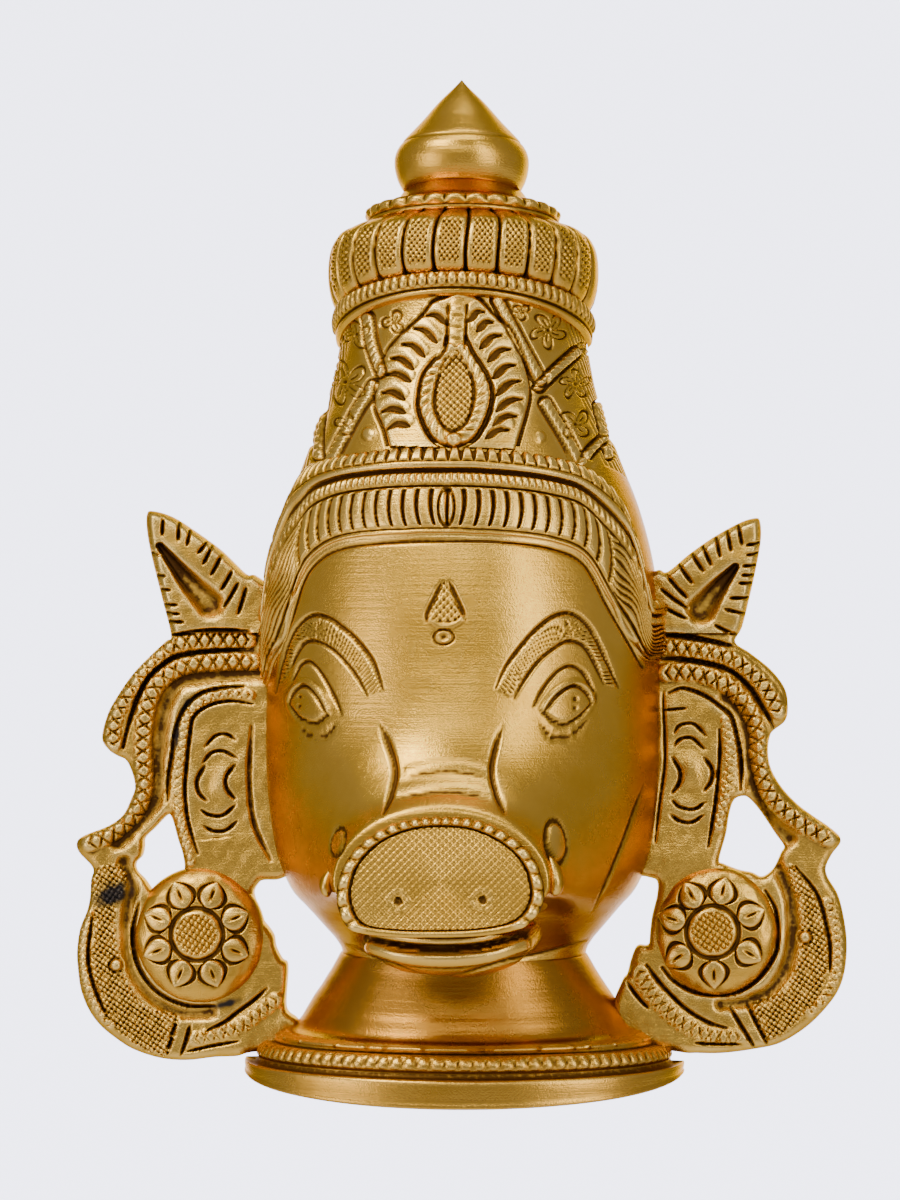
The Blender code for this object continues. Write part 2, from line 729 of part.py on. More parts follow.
def build():
    clear_scene()
    parts = new_collection("goddess_mask_wall_hanging")
    forms = new_collection("joined_forms")
    cuts = new_collection("carved_cuts")
    hollows = new_collection("hollows")
    cutters = new_collection("trimming")
    build_column(forms)
    build_flame(forms, cuts)
    build_crown_bands(forms)
    build_flutes(cuts)
    build_snout(forms, cuts)
    build_face(forms, cuts)
    build_wing(-1, "left", LEFT_WING, LEFT_GAP, LEFT_EAR, LEFT_PANEL, LEFT_ROSETTE, forms, cuts)
    build_wing(1, "right", RIGHT_WING, RIGHT_GAP, RIGHT_EAR, RIGHT_PANEL, RIGHT_ROSETTE, forms, cuts)
    build_hollow(hollows, cutters)
    back = flat_back(cutters)
    removed = merge_forms("all_that_is_cut_away", list(cuts.objects) + list(hollows.objects), cutters)
    removed.hide_render = True
    removed.display_type = "WIRE"
    body = merge_forms("goddess_mask", list(forms.objects), parts)
    one_skin(removed, CUTTER_SHARE)
    one_skin(body, FORM_SHARE)
    boolean(body, removed, "DIFFERENCE")
    one_skin(body, FACET_SHARE)
    boolean(body, back, "DIFFERENCE")
    body.data.materials.append(make_brass())
    body.data.shade_smooth()
    body.data.set_sharp_from_angle(angle=math.radians(35))


build()
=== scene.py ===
# %% [markdown]
# # A cast brass mask, carved in numbers
# The mask is one hollow brass casting. Its solid is already packed, so this lesson dresses it: each part of
# the casting is a grid whose points are moved to the form and then carved, the way a chaser works a wax
# model before it is cast. First the imported solid is loaded, and its box sets the scale.

# %% Load the imported solid
import math

import bmesh
import bpy
import numpy as np
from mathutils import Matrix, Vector


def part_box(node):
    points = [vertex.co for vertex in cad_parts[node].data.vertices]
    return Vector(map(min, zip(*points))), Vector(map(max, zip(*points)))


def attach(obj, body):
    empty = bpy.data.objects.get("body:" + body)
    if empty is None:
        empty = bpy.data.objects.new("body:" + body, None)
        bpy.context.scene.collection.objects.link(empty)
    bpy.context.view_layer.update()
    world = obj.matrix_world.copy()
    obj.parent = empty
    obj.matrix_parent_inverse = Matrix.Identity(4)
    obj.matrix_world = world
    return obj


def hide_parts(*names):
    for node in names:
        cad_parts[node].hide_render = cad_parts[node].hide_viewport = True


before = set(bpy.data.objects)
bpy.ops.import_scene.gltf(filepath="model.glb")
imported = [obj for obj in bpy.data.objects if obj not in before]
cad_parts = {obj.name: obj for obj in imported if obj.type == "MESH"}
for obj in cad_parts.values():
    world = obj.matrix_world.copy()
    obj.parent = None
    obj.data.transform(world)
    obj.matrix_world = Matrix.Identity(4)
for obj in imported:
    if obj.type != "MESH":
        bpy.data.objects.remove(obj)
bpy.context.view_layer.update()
low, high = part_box("goddess_mask")
HEIGHT = high.z - low.z
REAL_HEIGHT = 0.230
DRAWING_HEIGHT = 1005
UNIT = HEIGHT / DRAWING_HEIGHT
MM = 0.001 * HEIGHT / REAL_HEIGHT
FLOOR_LEVEL = low.z
print("mask height", round(HEIGHT, 4), "m; one drawing unit is", round(UNIT * 1000, 4), "mm")

# %% [markdown]
# ## The camera
# The photograph was taken from the front with a long lens, a little to the right of the middle: near
# parts such as the snout stand left of the centre line. The camera is made first, because the carving
# below is laid out as it looks from there.

# %% Camera
VIEW_DISTANCE = 915 * MM
VIEW_TURN = math.radians(5.0)
SENSOR = 36.0
PHOTO_HEIGHT = 1200.0
LENS_PIXELS = 4000.0
PHOTO_CENTRE = (450.0, 600.0)
AXIS_PIXEL = 464.0
EYE_LEVEL = 489.9

view_right = np.array([math.cos(VIEW_TURN), math.sin(VIEW_TURN), 0.0])
view_forward = np.array([-math.sin(VIEW_TURN), math.cos(VIEW_TURN), 0.0])
aside = (PHOTO_CENTRE[0] - AXIS_PIXEL) / LENS_PIXELS
camera_point = (view_right * aside - view_forward) * VIEW_DISTANCE
camera_point[2] = EYE_LEVEL * UNIT + FLOOR_LEVEL

camera_data = bpy.data.cameras.new("camera")
camera_data.sensor_fit = "VERTICAL"
camera_data.sensor_height = SENSOR
camera_data.lens = SENSOR * LENS_PIXELS / PHOTO_HEIGHT
camera = bpy.data.objects.new("camera", camera_data)
bpy.context.scene.collection.objects.link(camera)
camera.location = camera_point
camera.rotation_euler = (math.radians(90), 0, VIEW_TURN)
bpy.context.scene.camera = camera
print("camera lens", round(camera_data.lens, 1), "mm at", round(VIEW_DISTANCE, 3), "m")


# %% Between the model and the photograph
def photo(points):
    """Where points of the model, in metres, stand in the photograph's 900 x 1200 frame."""
    offset = points - camera_point
    distance = offset @ view_forward
    x = PHOTO_CENTRE[0] + LENS_PIXELS * (offset @ view_right) / distance
    y = PHOTO_CENTRE[1] - LENS_PIXELS * offset[..., 2] / distance
    return x, y


def to_model(x, y, depth):
    """The points of the model that stand at photo places, at depths in drawing units before the wall."""
    ray = view_forward + np.outer((x - PHOTO_CENTRE[0]) / LENS_PIXELS, view_right)
    ray[:, 2] += (PHOTO_CENTRE[1] - y) / LENS_PIXELS
    reach = (-depth * UNIT - camera_point[1]) / ray[:, 1]
    return camera_point + ray * reach[:, None]


print("the origin stands at", [round(float(value), 1) for value in photo(np.zeros((1, 3)))[0]], "across")

# %% [markdown]
# ## Carving tools
# A chaser has a few tools: a liner that cuts a groove, a punch that makes a bead, and a matting tool.
# Here they are functions of the distance from a drawn path. Each one gives a height for every point of a
# grid at once, so the same tools serve all the parts.

# %% Paths and distances
def curve_through(points, steps=10):
    """A smooth path through the given points."""
    p = np.array(points, float)
    p = np.vstack([2 * p[0] - p[1], p, 2 * p[-1] - p[-2]])
    t = np.linspace(0, 1, steps, endpoint=False)[:, None]
    parts = []
    for a, b, c, d in zip(p, p[1:], p[2:], p[3:]):
        parts.append(0.5 * (2 * b + (c - a) * t + (2 * a - 5 * b + 4 * c - d) * t ** 2
                            + (3 * b - a - 3 * c + d) * t ** 3))
    return np.vstack(parts + [p[-2:-1]])


def along(x, y, path, reach):
    """Distance to a path, place along it and side of it, for the grid points within reach."""
    near = np.full(x.shape, 1e9)
    place = np.zeros(x.shape)
    side = np.zeros(x.shape)
    close = (x > path[:, 0].min() - reach) & (x < path[:, 0].max() + reach)
    close &= (y > path[:, 1].min() - reach) & (y < path[:, 1].max() + reach)
    if not close.any():
        return near, place, side, 1.0
    px, py = x[close], y[close]
    best = np.full(px.shape, 1e9)
    best_place = np.zeros(px.shape)
    best_side = np.zeros(px.shape)
    travelled = 0.0
    for (ax, ay), (bx, by) in zip(path, path[1:]):
        length = math.hypot(bx - ax, by - ay)
        if length < 1e-9:
            continue
        ux, uy = (bx - ax) / length, (by - ay) / length
        s = np.clip((px - ax) * ux + (py - ay) * uy, 0, length)
        dx, dy = px - ax - s * ux, py - ay - s * uy
        d = np.hypot(dx, dy)
        better = d < best
        best = np.where(better, d, best)
        best_place = np.where(better, travelled + s, best_place)
        best_side = np.where(better, np.sign(dx * uy - dy * ux), best_side)
        travelled += length
    near[close] = best
    place[close] = best_place
    side[close] = best_side
    return near, place, side, travelled


def distance(x, y, points, reach):
    """Distance to the smooth path through some points, for the grid points within reach."""
    return along(x, y, curve_through(points), reach)[0]


# %% Cross sections of a cut
def smoothstep(value):
    """An even slope from zero to one, eased at both ends."""
    value = np.clip(value, 0, 1)
    return value * value * (3 - 2 * value)


def rounded(value):
    """The top of a round wire: one in its middle and zero at a distance of one."""
    return np.sqrt(np.clip(1 - value ** 2, 0, 1))


def stripe(value, middle, width):
    """One on a line and zero from a width away."""
    return smoothstep(1 - np.abs(value - middle) / width)


def faint(value, middle, width):
    """One on a line, fading away without an edge."""
    return np.exp(-((value - middle) / width) ** 2)


def from_whole(phase):
    """Zero where a count is whole and one half way between two whole counts."""
    return np.abs(phase - np.round(phase)) * 2


print("half way to its edge a round strip keeps", round(float(rounded(0.5)), 2), "of its height")


# %% Liners and punches
END_TAPER = 1.8
THIN_SHARE = 0.45


def groove(x, y, points, width, depth, thin=0.25):
    """A cut with a round bottom that thins out at both ends."""
    near, place, _, total = along(x, y, curve_through(points), width * 1.5)
    taper = thin + (1 - thin) * np.clip(np.sin(np.pi * (place / total)) * END_TAPER, 0, 1)
    return -depth * taper * smoothstep(1 - near / (width * (THIN_SHARE + (1 - THIN_SHARE) * taper)))


def ridge(x, y, points, width, height):
    """A round-topped strip."""
    return height * rounded(distance(x, y, points, width * 1.2) / width)


def beaded(x, y, points, width, height, pitch, depth=0.6, lean=0.0):
    """A strip cut across into beads, or into a rope where the cuts lean."""
    near, place, side, total = along(x, y, curve_through(points), width * 1.2)
    count = max(1, round(total / pitch))
    phase = (place + lean * near * side) / total * count
    cut = np.abs(np.sin(np.pi * phase)) ** 0.6
    return height * rounded(near / width) * (1 - depth + depth * cut)


def turned(x, y, turn):
    """Places measured along a turned direction and across it."""
    c, s = math.cos(turn), math.sin(turn)
    return x * c + y * s, y * c - x * s


def ellipse(x, y, centre, radii, turn=0.0):
    """Zero at an ellipse's middle and one on its edge."""
    a, b = turned(x - centre[0], y - centre[1], turn)
    return np.hypot(a / radii[0], b / radii[1])


def dome(x, y, centre, radii, height, turn=0.0):
    """A low oval boss."""
    return height * rounded(ellipse(x, y, centre, radii, turn))


def punched(x, y, pitch, depth, turn=0.6, sharp=2.0):
    """Rows of small punch marks, as a matting tool leaves."""
    a, b = turned(x, y, turn)
    marks = np.abs(np.sin(a * np.pi / pitch) * np.sin(b * np.pi / pitch))
    return -depth * (1 - np.clip(marks * sharp, 0, 1))


def hatched(x, y, pitch, depth, turn):
    """Parallel fine cuts."""
    return -depth * smoothstep(1 - from_whole(turned(x, y, turn)[0] / pitch) / 0.7)


# %% Hand work and outlines
def uneven(x, y, scale, seed):
    """Slow waves that make a surface look worked by hand, between -1 and 1."""
    rng = np.random.default_rng(seed)
    total = np.zeros(np.shape(x))
    for _ in range(7):
        angle, rate, start = rng.uniform(0, 6.28), rng.uniform(0.6, 1.7) / scale, rng.uniform(0, 6.28)
        total += np.sin((x * math.cos(angle) + y * math.sin(angle)) * rate + start)
    return total / 4.0


def within(x, y, outline):
    """Which points lie inside a closed outline."""
    inside = np.zeros(x.shape, bool)
    for (ax, ay), (bx, by) in zip(outline, np.roll(outline, -1, axis=0)):
        crosses = (ay > y) != (by > y)
        if by != ay:
            inside ^= crosses & (x < (bx - ax) * (y - ay) / (by - ay) + ax)
    return inside


def between(x, y, one, other):
    """Which points lie between two paths that run the same way."""
    return within(x, y, np.vstack([curve_through(one), curve_through(other)[::-1]]))


# %% [markdown]
# ## Grids that become castings
# Every part starts as a grid primitive. Its points are placed on the form by two numbers, across and up,
# then pushed out or in along the surface by the carving. A coarser grid makes the plain inner side, and the
# two are bridged round their rims, so that each part is closed. How far each point lies below its
# neighbours is kept as an attribute: the brass is painted darker there, as brown oxide and painted shade.

# %% Grid helpers
def select(*objects):
    """Selects these objects alone, the last one active."""
    bpy.ops.object.select_all(action="DESELECT")
    for obj in objects:
        obj.select_set(True)
        bpy.context.view_layer.objects.active = obj


def get_points(obj):
    """The places of a mesh's points, one row for each."""
    co = np.empty(len(obj.data.vertices) * 3)
    obj.data.vertices.foreach_get("co", co)
    return co.reshape(-1, 3)


def set_points(obj, points):
    """Moves a mesh's points."""
    obj.data.vertices.foreach_set("co", np.ascontiguousarray(points, np.float32).ravel())
    obj.data.update()


def set_attribute(obj, name, values):
    """Keeps a number for each point, which the brass reads."""
    attribute = obj.data.attributes.new(name, "FLOAT", "POINT")
    attribute.data.foreach_set("value", np.ascontiguousarray(values, np.float32))


def add_grid(name, across, up):
    """A grid primitive and, for each of its points, its row, column and shares across and up."""
    select()
    bpy.ops.mesh.primitive_grid_add(x_subdivisions=across, y_subdivisions=up, size=2)
    obj = bpy.context.object
    obj.name = name
    obj.data.name = name
    co = get_points(obj)
    columns, rows = [len(np.unique(np.round(co[:, axis], 6))) for axis in (0, 1)]
    u, v = (co[:, 0] + 1) / 2, (co[:, 1] + 1) / 2
    order = np.round(v * (rows - 1)).astype(int) * columns + np.round(u * (columns - 1)).astype(int)
    return obj, u, v, order, (rows, columns)


def blurred(field, sigma_rows, sigma_columns):
    """A soft copy of a field of heights."""
    sigmas = (sigma_rows, sigma_columns)
    pad = [min(size - 1, int(3 * sigma) + 1) for size, sigma in zip(field.shape, sigmas)]
    wide = np.pad(field, ((pad[0], pad[0]), (pad[1], pad[1])), mode="reflect")
    fy = np.fft.fftfreq(wide.shape[0])[:, None]
    fx = np.fft.rfftfreq(wide.shape[1])[None, :]
    soft = np.exp(-2 * np.pi ** 2 * ((fy * sigma_rows) ** 2 + (fx * sigma_columns) ** 2))
    result = np.fft.irfft2(np.fft.rfft2(wide) * soft, s=wide.shape)
    return result[pad[0]:pad[0] + field.shape[0], pad[1]:pad[1] + field.shape[1]]


# %% Carving a grid
STEP = 1e-3
WIDE_BLUR = 0.9
FINE_BLUR = 0.35
# How dark the plain inner sides and the hanging bar are painted: brown oxide and painted shade.
LINING_OXIDE_AND_SHADE = 0.35
LINING_ACROSS = 14
LINING_UP = 12
pieces = []


def carve(name, across, up, surface, relief, lining, wear_and_highlight_scale=0.35, oxide_and_shade_scale=0.28, brown_tone_and_shade=None):
    """A closed part: a carved front grid, a coarse lining behind it, and a rim between them."""
    obj, u, v, order, shape = add_grid(name, across, up)
    base = surface(u, v)
    along_u = surface(u + STEP, v) - surface(u - STEP, v)
    along_v = surface(u, v + STEP) - surface(u, v - STEP)
    normal = np.cross(along_u, along_v)
    normal /= np.maximum(np.linalg.norm(normal, axis=1), 1e-12)[:, None]
    flip = -1.0 if np.sum(normal[:, 1] * np.abs(base[:, 1])) > 0 else 1.0
    px, py = photo(base)
    height = relief(u, v, px, py)
    points = base + normal * (flip * height * MM)[:, None]
    points[:, 1] = np.minimum(points[:, 1], 0.0)
    set_points(obj, points)
    field = np.zeros(shape)
    field.flat[order] = height
    grid = np.zeros((*shape, 3))
    grid.reshape(-1, 3)[order] = base
    cell_v, cell_u = [np.linalg.norm(np.diff(grid, axis=axis), axis=2).mean() / MM for axis in (0, 1)]
    soft, fine = [blurred(field, size / cell_v, size / cell_u) for size in (WIDE_BLUR, FINE_BLUR)]
    # Low places are painted darker and browner: brown oxide, and painted shade where shade falls.
    set_attribute(obj, "recess", np.clip((soft - field) / oxide_and_shade_scale, 0, 1).flat[order])
    # Crests are painted brighter: wear from rubbing, and painted highlight.
    set_attribute(obj, "edge", np.clip((fine - soft) / wear_and_highlight_scale, 0, 1).flat[order])
    # An optional browner tone that the part paints as shade.
    if brown_tone_and_shade:
        set_attribute(obj, "brown_tone_and_shade", brown_tone_and_shade(u, v, px, py))
    if flip < 0:
        obj.data.flip_normals()
    add_lining(obj, lining, max(8, across // LINING_ACROSS), max(4, up // LINING_UP), flip)
    finish_part(obj)
    print(name, len(obj.data.polygons), "faces, cells of", round(cell_u, 2), "x", round(cell_v, 2), "mm")


def add_lining(obj, lining, across, up, flip):
    """Joins the coarse inner grid to the carved one and closes the rim between them."""
    inner, u, v, _, _ = add_grid(obj.name + "_lining", across, up)
    set_points(inner, lining(u, v))
    set_attribute(inner, "recess", np.full(len(u), LINING_OXIDE_AND_SHADE))
    if flip > 0:
        inner.data.flip_normals()
    select(inner, obj)
    bpy.ops.object.join()
    bpy.ops.object.mode_set(mode="EDIT")
    bpy.ops.mesh.select_mode(type="EDGE")
    bpy.ops.mesh.select_all(action="DESELECT")
    bpy.ops.mesh.select_non_manifold(extend=False, use_wire=False, use_multi_face=False, use_verts=False)
    bpy.ops.mesh.bridge_edge_loops()
    bpy.ops.object.mode_set(mode="OBJECT")


RIM_ANGLE = math.radians(70)


def finish_part(obj, metal=None):
    """Smooth shading that keeps sharp rims sharp, the brass, and its place in the casting."""
    select(obj)
    bpy.ops.object.shade_smooth_by_angle(angle=RIM_ANGLE)
    obj.data.materials.clear()
    obj.data.materials.append(metal or brass)
    pieces.append(obj)


# %% [markdown]
# ## Aged brass
# Brass is a yellow metal, so its colour goes in the base colour and its metallic value is one. High places
# are painted brighter, as wear from polish and handling and as painted highlight, and low places darker, as
# brown oxide and old polish and as painted shade. Attributes of the mesh drive that: recess for the low
# places, edge for the high ones, brown_tone_and_shade for a browner tone painted as shade on the cheeks and
# neck, and black_spot for a few listed black spots. Cloudy noise varies the tone, and a fine grain, with
# the long scratches of the buff, breaks up the reflections.

# %% Material helpers
MIX_SHARE, MIX_FIRST, MIX_SECOND = 0, 6, 7
MIX_COLOUR = 2


class Finish:
    """A material, with one short call for each kind of node that this casting needs."""

    def __init__(self, name):
        self.material = bpy.data.materials.new(name)
        self.material.use_nodes = True
        self.tree = self.material.node_tree
        self.shader = self.tree.nodes["Principled BSDF"]

    def put(self, item, inputs):
        """Gives each named socket its value, or links it to another node's output."""
        for key, value in inputs.items():
            if isinstance(value, bpy.types.NodeSocket):
                self.tree.links.new(value, item.inputs[key])
            else:
                item.inputs[key].default_value = value
        return item

    def add(self, kind, inputs):
        """A new node with its sockets filled in."""
        return self.put(self.tree.nodes.new(kind), inputs)

    def attribute(self, name):
        """A number kept on the mesh's points."""
        item = self.add("ShaderNodeAttribute", {})
        item.attribute_name = name
        return item.outputs["Fac"]

    def mix(self, share, first, second):
        """A colour between two, by share."""
        item = self.add("ShaderNodeMix", {})
        item.data_type = "RGBA"
        inputs = {MIX_SHARE: share, MIX_FIRST: first, MIX_SECOND: second}
        return self.put(item, inputs).outputs[MIX_COLOUR]

    def combine(self, operation, first, second):
        """The sum or product of two numbers."""
        item = self.add("ShaderNodeMath", {0: first, 1: second})
        item.operation = operation
        return item.outputs[0]

    def ramp(self, source, low_value, high_value, low_out=0.0, high_out=1.0):
        """One range of numbers stretched onto another."""
        return self.add("ShaderNodeMapRange", {
            "Value": source, "From Min": low_value, "From Max": high_value,
            "To Min": low_out, "To Max": high_out}).outputs["Result"]

    def noise(self, place, scale, detail, roughness):
        """Cloudy noise, finer as its scale grows."""
        return self.add("ShaderNodeTexNoise", {
            "Vector": place, "Scale": scale, "Detail": detail, "Roughness": roughness}).outputs["Fac"]

    def bump(self, height, strength, distance):
        """A shallow unevenness, its distance in metres."""
        return self.add("ShaderNodeBump", {"Height": height, "Strength": strength, "Distance": distance})


# %% Brass material
# The brown tone of painted shade.
BROWN_SHADE_TONE = (0.37, 0.160, 0.018, 1)
# The bright tone of the crests: wear from rubbing, and painted highlight.
WEAR_AND_HIGHLIGHT_TONE = (0.95, 0.68, 0.20, 1)
BLACK_SPOT_TONE = (0.012, 0.011, 0.012, 1)
SHEEN_TINT = (0.72, 0.52, 0.30, 1)
BUFFING_TURN = math.radians(14)


def make_brass(name, bright, warm, oxide_and_shade_tone, rough, grain):
    """Brass of two clouded tones, with oxide and painted shade low and wear and painted highlight high."""
    brass = Finish(name)
    place = brass.add("ShaderNodeTexCoord", {}).outputs["Object"]
    cloud = brass.noise(place, 55.0, 5.0, 0.65)
    speck = brass.ramp(brass.noise(place, 900.0, 3.0, 0.7), 0.3, 0.65, 0.65, 1.25)
    # Darkening of the low places: brown oxide and painted shade.
    oxide_and_shade = brass.ramp(brass.combine("MULTIPLY", brass.attribute("recess"), speck), 0.10, 0.80)
    # Brightening of the crests: wear from rubbing, and painted highlight.
    wear_and_highlight = brass.ramp(brass.attribute("edge"), 0.1, 1.0, 0.0, 0.55)
    # Black in a few listed spots of the left wing.
    black_spot = brass.attribute("black_spot")
    tone = brass.mix(brass.ramp(cloud, 0.32, 0.68), bright, warm)
    # Painted shade in a browner tone, where the part gives one.
    tone = brass.mix(brass.attribute("brown_tone_and_shade"), tone, BROWN_SHADE_TONE)
    tone = brass.mix(oxide_and_shade, tone, oxide_and_shade_tone)
    tone = brass.mix(wear_and_highlight, tone, WEAR_AND_HIGHLIGHT_TONE)
    tone = brass.mix(black_spot, tone, BLACK_SPOT_TONE)
    clean_rough = brass.ramp(cloud, 0.3, 0.7, rough - 0.02, rough + 0.03)
    fine = brass.bump(brass.noise(place, 2600.0, 2.0, 0.6), grain, 0.0002)
    broad = brass.bump(brass.noise(place, 240.0, 3.0, 0.6), 0.10 + 0.2 * grain ** 2, 0.0006)
    buffing = brass.add("ShaderNodeMapping", {
        "Vector": place, "Rotation": (0, BUFFING_TURN, 0), "Scale": (30, 30, 1500)}).outputs["Vector"]
    brushed = brass.bump(brass.noise(buffing, 1.0, 2.0, 0.6), 0.40, 0.00015)
    brass.put(broad, {"Normal": fine.outputs["Normal"]})
    brass.put(brushed, {"Normal": broad.outputs["Normal"]})
    brass.put(brass.shader, {
        "Base Color": tone, "Specular Tint": SHEEN_TINT,
        "Metallic": brass.ramp(black_spot, 0.2, 1.0, 1.0, 0.2),
        "Roughness": brass.combine("ADD", clean_rough, brass.ramp(oxide_and_shade, 0.0, 1.0, 0.0, 0.30)),
        "Normal": brushed.outputs["Normal"]})
    return brass.material


# The darkest tone of each brass goes on low places, as brown oxide and painted shade.
brass = make_brass(
    "aged_brass", bright=(0.73, 0.42, 0.058, 1), warm=(0.61, 0.325, 0.034, 1),
    oxide_and_shade_tone=(0.105, 0.045, 0.008, 1), rough=0.26, grain=0.35)
cast_brass = make_brass(
    "cast_brass", bright=(0.74, 0.425, 0.060, 1), warm=(0.56, 0.31, 0.038, 1),
    oxide_and_shade_tone=(0.075, 0.032, 0.008, 1), rough=0.25, grain=0.55)
print("made", brass.name, "and", cast_brass.name)

# %% [markdown]
# ## The column of the mask
# Seen from the front, the mask is a column: collar, neck, head, crown and finial, each with its own half
# width at the sides and depth at the front. Any level of it is cut as half an ellipse. The levels arch
# up at the front of the crown, because the crown leans back.

# %% Column profile
HALF_WIDTHS = {
    100: 146, 116: 134, 128: 125, 140: 122, 152: 128, 165: 139, 185: 156, 205: 173, 240: 187, 290: 194,
    340: 197, 400: 197, 460: 196, 500: 193, 540: 186, 580: 175, 620: 160, 645: 150, 680: 137, 715: 128,
    750: 123, 800: 121,
}
DEPTHS = {
    100: 117, 116: 114, 128: 112, 140: 113, 152: 122, 165: 140, 185: 166, 205: 184, 240: 197, 290: 202,
    340: 203, 400: 203, 460: 200, 500: 196, 547: 190, 600: 181, 640: 170, 682: 158, 716: 147, 744: 141,
    786: 132, 820: 130,
}


def shares(*pairs):
    """A smooth function through pairs of place and size."""
    dense = curve_through(pairs, 12)
    return lambda place: np.interp(place, dense[:, 0], dense[:, 1])


def table(values):
    """A smooth function through a table of level and size, lowest first."""
    return shares(*values.items())


half_width = table(HALF_WIDTHS)
front_depth = table(DEPTHS)
arch_lift = table({
    100: 0, 380: 0, 440: 0, 475: 6, 500: 18, 516: 29, 545: 35, 574: 38, 606: 36, 640: 36,
})
print("the head is", round(2 * float(half_width(400)) * UNIT / MM, 1), "mm wide")


# %% Bands turned on the column
def arch(side, front):
    """A level that rises from the side to the front."""
    return lambda angle: side + (front - side) * np.sin(angle)


CROWDING = 0.34


def front_share(u):
    """Shares across a grid that crowd the points toward the front, where most of the carving is."""
    return u + CROWDING * np.sin(2 * np.pi * u) / (2 * np.pi)


def model(x, forward, level):
    """Points of the model from drawing units: to the right, out from the wall, and up from the foot."""
    return np.stack([x * UNIT, -forward * UNIT, level * UNIT + FLOOR_LEVEL], axis=-1)


def band_surface(bottom, top, half, depth, centre=0.0):
    """A turned band with its own profile from bottom to top, its middle a little before the wall."""
    start = math.asin(min(0.95, centre / depth(0.4)))

    def surface(u, v):
        angle = np.pi + start - (np.pi + 2 * start) * front_share(u)
        level = bottom(angle) * (1 - v) + top(angle) * v
        forward = centre + depth(v) * np.sin(angle)
        return model(half(v) * np.cos(angle), np.maximum(forward, 0), level)

    return surface


BACK_GAP = 0.00002


def flat_lining(surface):
    """The back of a solid part: its front pressed flat against the plane of the wall."""

    def lining(u, v):
        points = surface(u, v)
        points[:, 1] = -BACK_GAP
        return points

    return lining


def side_angle(u):
    """Degrees round from the nearer side, 90 at the front."""
    return 90 - np.abs(u - 0.5) * 180


# %% [markdown]
# ## Finial
# The crown ends in a bud turned on a lathe: a low dome with a crisp edge, and a cone with slightly
# bulging sides. Faint tool marks run round the dome.

# %% Finial
finial_half = shares((0, 58), (0.04, 61), (0.13, 65), (0.25, 67), (0.34, 65.3), (0.41, 61), (0.46, 56.8),
                     (0.62, 40.5), (0.8, 23.5), (0.93, 9), (1, 1.5))
finial_surface = band_surface(arch(896, 904), arch(1004, 1006), finial_half, finial_half, 26)


def finial_relief(u, v, px, py):
    lathe_marks = 0.04 * np.sin(v * 260 + np.sin(u * 9)) * (v < 0.2)
    return lathe_marks - 0.20 * faint(v, 0.425, 0.012) + 0.05 * uneven(px, py, 16, 3)


carve("finial", 104, 92, finial_surface, finial_relief, flat_lining(finial_surface))

# %% [markdown]
# ## Ring and cushion
# Under the bud lies a thin scalloped ring, and under it a cushion divided into ribs like a melon, the
# top member of many temple towers. The ribs are cut across with fine crossed lines, and the grooves
# between them are smooth and dark.

# %% Ring
ring_surface = band_surface(
    arch(858, 868), arch(894, 904),
    shares((0, 86), (0.12, 94), (0.34, 96), (0.48, 93), (0.56, 84), (0.66, 70), (1, 60)),
    shares((0, 84), (0.12, 96), (0.34, 99), (0.48, 96), (0.56, 86), (0.66, 72), (1, 62)), 8)


LOBES = 15


def ring_relief(u, v, px, py):
    lobes = np.abs(np.sin(np.pi * LOBES * front_share(u))) ** 0.7
    lip = faint(v, 0.42, 0.11) * (0.95 * lobes - 0.35)
    return lip - 0.4 * faint(v, 0.20, 0.04) + 0.06 * uneven(px, py, 7, 5)


carve("scalloped_ring", 240, 46, ring_surface, ring_relief, flat_lining(ring_surface))

# %% Cushion of ribs
RIBS = 13
cushion_surface = band_surface(
    arch(772, 806), arch(862, 871),
    shares((0, 121), (0.1, 128.5), (0.3, 133.5), (0.55, 134), (0.75, 130), (0.88, 120), (1, 92)),
    shares((0, 131), (0.1, 140), (0.3, 147), (0.55, 147), (0.75, 141), (0.88, 128), (1, 98)))


def cushion_relief(u, v, px, py):
    from_groove = from_whole(front_share(u) * RIBS + 0.08 * np.sin(v * 3 + 1))
    body = 1.05 * np.sqrt(np.clip(1 - (1 - from_groove) ** 3.0, 0, 1)) - 0.75
    cut = -0.85 * smoothstep(1 - from_groove / 0.15)
    face = smoothstep((from_groove - 0.36) / 0.08) * smoothstep((v - 0.12) / 0.08)
    face *= smoothstep((0.84 - v) / 0.08)
    lattice = hatched(px, py, 4.4, 0.34, 0.75) + hatched(px, py, 4.4, 0.34, -0.6)
    fade = smoothstep((side_angle(u) - 8) / 10)
    rough = 0.07 * uneven(px, py, 6, 8) + 0.0275 + 0.006 * np.sin(u * 21)
    return body + cut * fade + lattice * face * fade + rough


carve("ribbed_cushion", 350, 84, cushion_surface, cushion_relief, flat_lining(cushion_surface), oxide_and_shade_scale=0.22)

# %% [markdown]
# ## Beaded band
# A flat band holds the cushion on the crown. Small arches are punched along it, side by side, between a
# groove above and a line below.

# %% Beaded band
band_under_cushion = band_surface(
    arch(741, 784), arch(776, 811),
    shares((0, 124), (0.15, 128), (0.5, 129), (0.85, 128), (1, 122)),
    shares((0, 134), (0.15, 139), (0.5, 140), (0.85, 138), (1, 131)))


PUNCHED_ARCHES = 41


def band_relief(u, v, px, py):
    phase = front_share(u) * PUNCHED_ARCHES
    local = (phase - np.floor(phase) - 0.5) * 2
    bead = rounded(np.hypot(local, (v - 0.62) / 0.26))
    lines = -0.55 * faint(v, 0.27, 0.05) - 0.5 * faint(v, 0.95, 0.06)
    return 0.75 * bead + lines + 0.09 * uneven(px, py, 7, 12)


carve("beaded_band", 410, 44, band_under_cushion, band_relief, flat_lining(band_under_cushion))

